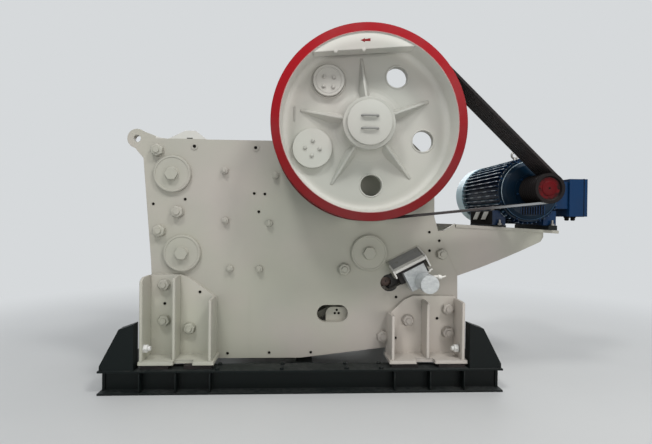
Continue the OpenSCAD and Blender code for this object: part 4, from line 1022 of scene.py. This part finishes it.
# %% [markdown]
# ## Motor details
# The motor is a standard frame-mounted machine. Its end shield is bolted on by its rim, has a bearing
# cover with screws and a louvred panel below, and the fan cowl ends in a round grille. A lifting eye is
# screwed into the top. A dark band near the terminal box's lid is painted shade, and two cable glands
# sit under the box.

# %% Motor bolts and lifting eye
shield_rim_y, shield_face_y, cover_face_y = -0.7465, -0.7905, -0.8045
motor_bolts = [(place, near, size) for count, radius, y, start, size in (
    (8, 0.2745, shield_rim_y, 0.39, 0.011), (6, 0.135, cover_face_y, 0.26, 0.010))
    for place in ring_of(count, radius, (motor_at.x, y, motor_at.z), start)]
scatter("motor_bolts", hexagon_tree(motor_paint), motor_bolts, "frame", both_sides=False)

eye_at = (1.570, -0.450, 2.112)
eye_ring_r, eye_bar_r = 0.030, 0.010
eye_section = [(eye_ring_r + eye_bar_r * math.cos(math.tau * k / 10), eye_bar_r * math.sin(math.tau * k / 10))
               for k in range(10)]
eye = Shape()
eye.turned(eye_section, eye_at, sides=24, closed=True)
eye.turned([(0.0, 0.0), (0.030, 0.0), (0.030, 0.010), (0.018, 0.016), (0.014, 0.030), (0.0, 0.030)],
           (eye_at[0], eye_at[1], 2.052), upward, sides=24)
eye.keep("motor_lifting_eye", raw_steel, "frame", "raw_steel")
print("motor bolts:", len(motor_bolts))

# %% Bright edge and louvred panel of the end shield
shield_edge_r = 0.266
shield_edge = [(shield_edge_r - 0.004, -0.003), (shield_edge_r + 0.001, -0.001),
               (shield_edge_r + 0.001, 0.003), (shield_edge_r - 0.004, 0.003)]
panel_left, panel_right, panel_low, panel_high = 1.482, 1.694, 1.535, 1.618
slot_count = 9
edge_line, panel, backing = Shape(), Shape(), Shape()
# This ring on the end shield's edge carries a painted highlight.
edge_line.turned(shield_edge, (motor_at.x, shield_face_y + 0.019, motor_at.z), closed=True, sides=96)
edge_line.keep("shield_edge", shield_edge_highlight_paint, "frame", "motor_paint")
for i in range(slot_count + 1):
    x = panel_left + (panel_right - panel_left) * i / slot_count
    panel.plate(rectangle(x - 0.005, x + 0.005, panel_low, panel_high, shield_face_y + 0.001),
                (0, -0.006, 0), 0.002)
panel.keep("shield_louvres", motor_paint, "frame", "motor_paint")
backing.plate(rectangle(panel_left, panel_right, panel_low, panel_high, shield_face_y), (0, -0.0012, 0), 0)
backing.keep("shield_slots", shadow, "frame", "motor_paint")
print("louvres:", slot_count)


# %% Fan grille
def grille_tree(finish):
    tree, given = new_growth("fan_grille", {"Grille radius": 0.235, "Hole radius": 0.0085, "Rows": 19})
    span = given["Grille radius"] * 2
    sheet = tree.add("GeometryNodeMeshGrid", None, {
        "Size X": span, "Size Y": span, "Vertices X": given["Rows"], "Vertices Y": given["Rows"]})
    far = tree.vector("LENGTH", tree.add("GeometryNodeInputPosition")) > given["Grille radius"]
    round_sheet = tree.add("GeometryNodeDeleteGeometry", {"domain": "POINT"},
                           {"Geometry": sheet, "Selection": far})
    hole = tree.add("GeometryNodeMeshCylinder", None,
                    {"Vertices": 8, "Radius": given["Hole radius"], "Depth": 0.001})
    holes = tree.add("GeometryNodeInstanceOnPoints", None, {"Points": round_sheet, "Instance": hole})
    placed = tree.add("GeometryNodeTransform", None, {
        "Geometry": holes, "Translation": (motor_at.x, 0.3996, motor_at.z), "Rotation": (math.pi / 2, 0, 0)})
    close_growth(tree, placed, finish)
    return tree


grille_piece = grow("fan_grille_holes", grille_tree(shadow), bpy.data.meshes.new("grille_seed"), "frame")
print("grille:", len(grille_piece.data.polygons), "faces")

# %% Terminal box, glands, rail bolts and foot webs
shade_band_x = (2.133, 2.139)
box_low, box_high, box_front, box_back = 1.5195, 1.8745, -0.6730, -0.3280
gland = [(0.0, 0.0), (0.026, 0.0), (0.026, 0.012), (0.020, 0.016), (0.020, 0.034), (0.012, 0.040),
         (0.0, 0.040)]
# A dark band near the box's lid is painted shade; two cable glands sit under the box.
box_trim = Shape()
box_corners = [(box_front, box_low), (box_back, box_low), (box_back, box_high), (box_front, box_high)]
box_trim.loft([[(x, y, z) for y, z in box_corners] for x in shade_band_x])
for x in (2.035, 2.095):
    box_trim.turned(gland, (x, -0.560, 1.523), downward, sides=24)
box_trim.keep("terminal_box_shade_band_and_glands", shadow, "frame", "motor_paint")

rail_bolts = [((x, -0.703, 1.4372), upward, 0.020) for x in (1.322, 1.818)]
rail_bolts += [((x, y, 1.5722), upward, 0.018) for x in (1.300, 1.840) for y in (-0.600, -0.160)]
scatter("rail_bolts", hexagon_tree(raw_steel), rail_bolts, "frame",
        {"Stud height": 1.6, "Stud radius": 0.52}, both_sides=False)

foot_side_x = 1.270


def foot_strip(shape, x, low, high, z_low, z_high, thick, edge):
    """A strip on the motor foot's side. Low and high are its Y range at the bottom and at the top."""
    shape.plate([(x, low[0], z_low), (x, low[1], z_low), (x, high[1], z_high), (x, high[0], z_high)],
                (-thick, 0, 0), edge)


# On the motor foot's side the dark sheet is painted shade, and the two bright white webs are painted
# highlights.
foot_panel, webs = Shape(), Shape()
foot_strip(foot_panel, foot_side_x, (-0.655, -0.105), (-0.655, -0.105), 1.441, 1.568, 0.0015, 0)
foot_panel.keep("motor_foot_shade_sheet", shadow, "frame", "motor_paint")
for low, high in (((-0.287, -0.175), (-0.370, -0.262)), ((-0.498, -0.390), (-0.584, -0.474))):
    foot_strip(webs, foot_side_x - 0.001, low, high, 1.486, 1.562, 0.006, 0.0015)
webs.keep("motor_foot_highlit_webs", fresh_white_and_highlight, "frame", "motor_paint")
print("terminal box shade band, glands and", len(rail_bolts), "bolts")

# %% Pulley bush
bush_face_y = pulley_face_y + 0.020
bush_profile = [(0.007, -0.004), (0.052, -0.004), (0.062, -0.001), (0.062, 0.003), (0.050, 0.008),
                (0.010, 0.008), (0.007, 0.004)]
bush = Shape()
bush.turned(bush_profile, (motor_at.x, bush_face_y - 0.001, motor_at.z), closed=True)
bush.keep("pulley_bush", pulley_red, "motor_rotor", "rim_paint")
bush_holes = [((motor_at.x + dx, bush_face_y - depth, motor_at.z), near, size)
              for dx, depth, size in ((0, 0.0075, 0.009), (-0.080, 0.0002, 0.007), (0.080, 0.0002, 0.007))]
scatter("pulley_bush_holes", dark_discs, bush_holes, "motor_rotor", both_sides=False)
print("pulley bush at y", bush_face_y)

# %% [markdown]
# ## Tension spring
# A rod under the toggle plate keeps it seated, and a coil spring behind the rear frame pulls the rod. The
# CAD node is a plain sleeve of the spring's size. Here a coil stands for it: a round bar that follows a
# helix, whose end turns lie flat, as on a ground spring. A nut and a washer close the rod.

# %% Coil spring and rod nut
rod_across = -0.225
spring_from, spring_to = 1.3319, 1.5319
coil_r, wire_r, coil_turns, steps_a_turn = 0.058, 0.0115, 6.5, 28
steps = int(coil_turns * steps_a_turn)
route = []
for i in range(steps + 1):
    turns = coil_turns * i / steps
    climbed = min(1.0, max(0.0, (turns - 0.6) / (coil_turns - 1.2)))
    along = spring_from + wire_r + (spring_to - spring_from - 2 * wire_r) * climbed
    route.append(on_toggle(along, rod_across + coil_r * math.sin(math.tau * turns),
                           coil_r * math.cos(math.tau * turns)))
spring = Shape()
spring.bar(route, wire_r, 10)
spring_piece = spring.keep("coil_spring", raw_steel, "frame", "raw_steel")
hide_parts("tension_spring")

rod_r = 0.0262
washer_profile = [(rod_r, 0.0), (0.072, 0.0), (0.072, 0.010), (0.069, 0.012), (rod_r, 0.012)]
nut_profile = [(rod_r, 0.0), (0.040, 0.0), (0.044, 0.003), (0.044, 0.034), (0.040, 0.037), (rod_r, 0.037)]
rod_end = Shape()
for profile, gap, sides in ((washer_profile, 0.0005, 48), (nut_profile, 0.0130, 6)):
    rod_end.turned(profile, on_toggle(spring_to + gap, rod_across, 0), toggle_step(1, 0), sides=sides,
                   closed=True)
rod_end.keep("tension_rod_nut", raw_steel, "frame", "raw_steel")
print("spring points:", len(route))

# %% [markdown]
# ## Bolts you see from above and behind
# Each bearing housing is held down by a bolt through each foot, and its cover by eight screws. A jacking
# bolt passes through the outer rib of each of the crusher's feet, its head still wrapped in film.

# %% More bolts
housing_low, housing_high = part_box("bearing_housing_near")
housing_foot_top = 2.2352
housing_bolts = [((x, -0.622, housing_foot_top), upward, 0.030)
                 for x in (housing_low[0] + 0.060, housing_high[0] - 0.060)]
housing_bolts += [(place, near, 0.014)
                  for place in ring_of(8, 0.215, (shaft_at.x, housing_low[1], 2.253), 0.2)]
scatter("bearing_bolts", cast_heads, housing_bolts, "frame", {"Head height": 0.8})
jack_places = [((-1.8215, -0.872, 0.362), (1, 0, 0), 0.036), ((0.897, -0.842, 0.345), (-1, 0, 0), 0.036)]
scatter("wrapped_bolts", hexagon_tree(wrapped_white), jack_places, "frame",
        {"Stud height": 0.6, "Stud radius": 0.6, "Head height": 0.8})
print("bearing and jacking bolts:", 2 * len(housing_bolts + jack_places))

# %% [markdown]
# ## Weld beads
# Feet, brackets and the skid are welded from plate, and a painted bead runs along every joint. A line
# along each joint is turned into a bead: the tree puts points every few millimetres on the line, varies
# the bead's radius from point to point, and sweeps a six-sided ring along it. That gives the ripples of a
# weld for very few faces.

# %% Bead tree
def bead_tree(finish):
    tree, given = new_growth("weld_beads_" + finish.name, {"Bead radius": 0.006, "Bead spacing": 0.008})
    line = tree.add("GeometryNodeMeshToCurve", None, {0: given["Geometry"]})
    even = tree.add("GeometryNodeResampleCurve", {"mode": "LENGTH"},
                    {"Curve": line, "Length": given["Bead spacing"]})
    swell = any_between(tree, 0.72, 1.18)
    sized = tree.add("GeometryNodeSetCurveRadius", None, {"Curve": even, "Radius": swell})
    bead = tree.add("GeometryNodeCurveToMesh", None, {
        "Curve": sized, "Profile Curve": circle(tree, 6, given["Bead radius"]), "Fill Caps": True})
    close_growth(tree, bead, finish)
    return tree


def weld(name, finish, lines, body, sizes=None):
    """Beads along lines of points on the drive side, and mirrored onto the far side."""
    points, edges = [], []
    for line in lines + [[(x, -y, z) for x, y, z in line] for line in lines]:
        edges += [(len(points) + i, len(points) + i + 1) for i in range(len(line) - 1)]
        points += line
    mesh = bpy.data.meshes.new(name + "_lines")
    mesh.from_pydata(points, edges, [])
    return grow(name, bead_tree(finish), mesh, body, sizes)


# %% [markdown]
# ## Feet
# Each foot is a back plate bolted to the side plate, three ribs and a base plate with a notch at its
# front. The photograph shows their outlines better than the CAD nodes have them, so these feet take the
# nodes' place. One table holds both feet, and the beads follow from it.

# %% Feet with their real outlines
foot_plate_t, rib_t = 0.036, 0.025
base_low, base_high = 0.233, 0.263
foot_front_y, rib_front_y, mid_rib_front_y, notch_depth = -0.936, -0.922, -0.872, 0.070
feet = [
    {"base": (-1.855, -1.224), "notch": (-1.564, -1.402),
     "outline": [(-1.847, 0.233), (-1.847, 0.930), (-1.838, 0.956), (-1.815, 0.968), (-1.560, 0.968),
                 (-1.500, 0.948), (-1.440, 0.908), (-1.250, 0.766), (-1.250, 0.233)],
     "ribs": [(-1.847, rib_front_y, 0.938, 0.967), (-1.588, mid_rib_front_y, 0.955, 0.964),
              (-1.274, rib_front_y, 0.776, 0.782)]},
    {"base": (0.273, 0.956), "notch": (0.508, 0.671),
     "outline": [(0.291, 0.233), (0.291, 0.600), (0.448, 0.748), (0.531, 0.786), (0.923, 0.780),
                 (0.923, 0.233)],
     "ribs": [(0.293, rib_front_y, 0.644, 0.634), (0.611, mid_rib_front_y, 0.741, 0.752),
              (0.908, rib_front_y, 0.757, 0.762)]},
]
foot_shape = Shape()
frame_lines = []
for foot in feet:
    (x0, x1), (n0, n1) = foot["base"], foot["notch"]
    back_of_notch = foot_front_y + notch_depth
    edge = [(x0, plate_y), (x0, foot_front_y), (n0, foot_front_y), (n0, back_of_notch), (n1, back_of_notch),
            (n1, foot_front_y), (x1, foot_front_y), (x1, plate_y)]
    foot_shape.plate([(x, y, base_low) for x, y in edge], (0, 0, base_high - base_low), 0.002)
    foot_shape.plate([(x, foot_plate_y, z) for x, z in foot["outline"]], (0, foot_plate_t, 0), 0.002)
    frame_lines.append([(x, plate_y, z) for x, z in foot["outline"]])
    for x, front_y, front_top, back_top in foot["ribs"]:
        side = [(foot_plate_y + 0.002, base_high - 0.002), (foot_plate_y + 0.002, back_top),
                (front_y + 0.060, max(front_top, back_top)), (front_y, front_top),
                (front_y, base_high - 0.002)]
        foot_shape.plate([(x, y, z) for y, z in side], (rib_t, 0, 0), 0.003)
        for face in (x, x + rib_t):
            frame_lines.append([(face, foot_plate_y, base_high), (face, foot_plate_y, back_top - 0.01)])
            frame_lines.append([(face, foot_plate_y, base_high), (face, front_y, base_high)])
foot_piece = foot_shape.keep("feet", lit_foot_paint, "frame", "machine_paint", both_sides=True)
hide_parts("front_foot_near", "front_foot_far", "rear_foot_near", "rear_foot_far")
print("feet:", len(foot_piece.data.polygons), "faces")

# %% Beads on the feet, the frame and the counterweights
frame_lines += [[on_toggle(along, across, plate_y) for along in (0.934, 1.267)] for across in (0.068, 0.182)]
welds = weld("frame_welds", machine_paint, frame_lines, "frame")
arc_r, arc_half, arc_steps = 0.726, 35.4, 40
weight_arc = [on_wheel(arc_r, 90 + chord_turn + arc_half * step / arc_steps, -1.1405)
              for step in range(-arc_steps, arc_steps + 1)]
weld("weight_filler", cast_paint, [weight_arc], "crankshaft",
     {"Bead radius": 0.0062, "Bead spacing": 0.014})
print("frame welds:", len(welds.data.polygons), "faces")

# %% [markdown]
# ## The skid's small parts
# The beams are welded to their flanges, stiffened by web plates and closed at their ends, and bolted
# down between the feet. The end stops' toes are closed by sloping strips.

# %% Beads, plates and bolts on the skid
beam_y, beam_side, web_half = 0.876, 0.100, 0.006
top_of_beam, above_low_flange, under_flange = 0.200, 0.0155, 0.1845
web_y, flange_y = -beam_y - web_half, -beam_y - beam_side
stop_y = (-0.966, -0.846)
skid_lines = [[(low, y, top_of_beam), (high, y, top_of_beam)]
              for low, high in ((-2.134, -1.880), (0.963, 1.217)) for y in stop_y]
skid_lines += [[(-2.135, web_y, z), (1.218, web_y, z)] for z in (0.015, 0.185)]
weld("skid_welds", skid_paint, skid_lines, "frame",
     {"Bead radius": 0.005, "Bead spacing": 0.012})

stiffeners = Shape()
for x in (-1.838, -1.541, -1.257, 0.307, 0.617, 0.911):
    side = [(web_y + 0.001, above_low_flange), (flange_y + 0.012, above_low_flange),
            (flange_y + 0.004, 0.030), (flange_y + 0.004, 0.170), (flange_y + 0.012, under_flange),
            (web_y + 0.001, under_flange)]
    stiffeners.plate([(x, y, z) for y, z in side], (0.012, 0, 0), 0.0015)
for low, high in ((-2.158, -2.134), (1.217, 1.241)):
    stiffeners.plate(rectangle(low, high, above_low_flange, under_flange, -beam_y - 0.020),
                     (0, 0.040, 0), 0.001)
for top_x, toe, outward in ((-2.000, -2.134, -1), (1.083, 1.217, 1)):
    strip = [(toe, 0.211), (toe + 0.024 * outward, 0.2035), (toe + 0.024 * outward, 0.240), (top_x, 0.5450),
             (top_x - 0.010 * outward, 0.5350)]
    stiffeners.plate([(x, -0.9655, z) for x, z in strip], (0, 0.119, 0), 0.001)
stiffeners.keep("skid_stiffeners", skid_paint, "frame", "skid_paint", both_sides=True)
skid_bolts = [((x, y, top_of_beam), upward, 0.020)
              for x in (-1.19, -0.65, -0.10, 0.20) for y in (-0.945, -0.807)]
scatter("skid_bolts", hexagon_tree(skid_paint), skid_bolts, "frame")
print("skid bolts:", 2 * len(skid_bolts))

# %% [markdown]
# ## Stage, light, and the end
# A pale floor and plain soft light show the object without a scene around it. Two key lamps above and two
# wide lamps in front stand in for the hall's skylights. The pale background is seen by the camera, by
# gloss and through glass, and lights the object only weakly.

# %% Floor, lamps and world
backdrop = rgb(214, 217, 219)


def floor():
    """A floor that keeps the object's shadow and fades into the backdrop."""
    mesh = bpy.data.meshes.new("floor")
    mesh.from_pydata([(-40, -40, 0), (40, -40, 0), (40, 40, 0), (-40, 40, 0)], [], [(0, 1, 2, 3)])
    piece = bpy.data.objects.new("floor", mesh)
    bpy.context.collection.objects.link(piece)
    material, tree, where = new_material("floor_finish")
    base = tree.mix(tree.noise(where, 0.8, 4.0), rgb(202, 203, 202), rgb(210, 211, 210))
    near_floor = tree.add("ShaderNodeBsdfPrincipled", None, {"Base Color": base, "Roughness": 0.6})
    far_floor = tree.add("ShaderNodeEmission", None, {"Color": backdrop, "Strength": 1.0})
    fade = tree.smooth(tree.vector("LENGTH", where), 2.6, 7.0)
    close_material(tree, tree.add("ShaderNodeMixShader", None, {0: fade, 1: near_floor, 2: far_floor}))
    mesh.materials.append(material)


def lamp(name, at, towards, size, watts, colour=(1, 1, 1)):
    data = bpy.data.lights.new(name, "AREA")
    data.shape = "RECTANGLE"
    data.size, data.size_y = size
    data.energy = watts
    data.color = colour
    piece = bpy.data.objects.new(name, data)
    bpy.context.collection.objects.link(piece)
    piece.location = at
    piece.rotation_euler = (Vector(towards) - Vector(at)).to_track_quat("-Z", "Y").to_euler()


def sky():
    world = bpy.data.worlds.new("sky")
    bpy.context.scene.world = world
    world.use_nodes = True
    world.node_tree.nodes.clear()
    tree = Tree(world.node_tree)
    rays = tree.add("ShaderNodeLightPath", out="Is Camera Ray")
    glossy, through = (Wire(tree, rays.socket.node.outputs[name])
                       for name in ("Is Glossy Ray", "Is Transmission Ray"))
    seen = tree.larger(rays, tree.larger(glossy, through))
    light = tree.add("ShaderNodeBackground", None, {"Color": (0.86, 0.92, 1.0, 1), "Strength": 0.25})
    shown = tree.add("ShaderNodeBackground", None, {"Color": backdrop, "Strength": 1.0})
    both = tree.add("ShaderNodeMixShader", None, {0: seen, 1: light, 2: shown})
    tree.add("ShaderNodeOutputWorld", None, {"Surface": both})


floor()
lamp("key_left", (-2.8, -5.6, 8.8), (-0.2, 0, 1.2), (1.6, 1.6), 285)
lamp("key_right", (3.2, -5.4, 8.2), (0.4, 0, 1.2), (1.6, 1.6), 290)
lamp("skylight", (0.6, -1.0, 7.5), (0, 0, 1.2), (6, 4.5), 100)
lamp("front_left", (-3.0, -9.0, 1.4), (-0.4, 0, 1.0), (4.5, 3), 70, (0.97, 1.0, 0.94))
lamp("front_right", (3.6, -8.6, 1.4), (0.6, 0, 1.0), (4.5, 3), 128, (1.0, 0.93, 0.88))
lamp("back_fill", (2.0, 7.0, 5.0), (0, 0, 1.5), (6, 4), 190)
sky()
bpy.context.scene.view_settings.view_transform = "Standard"
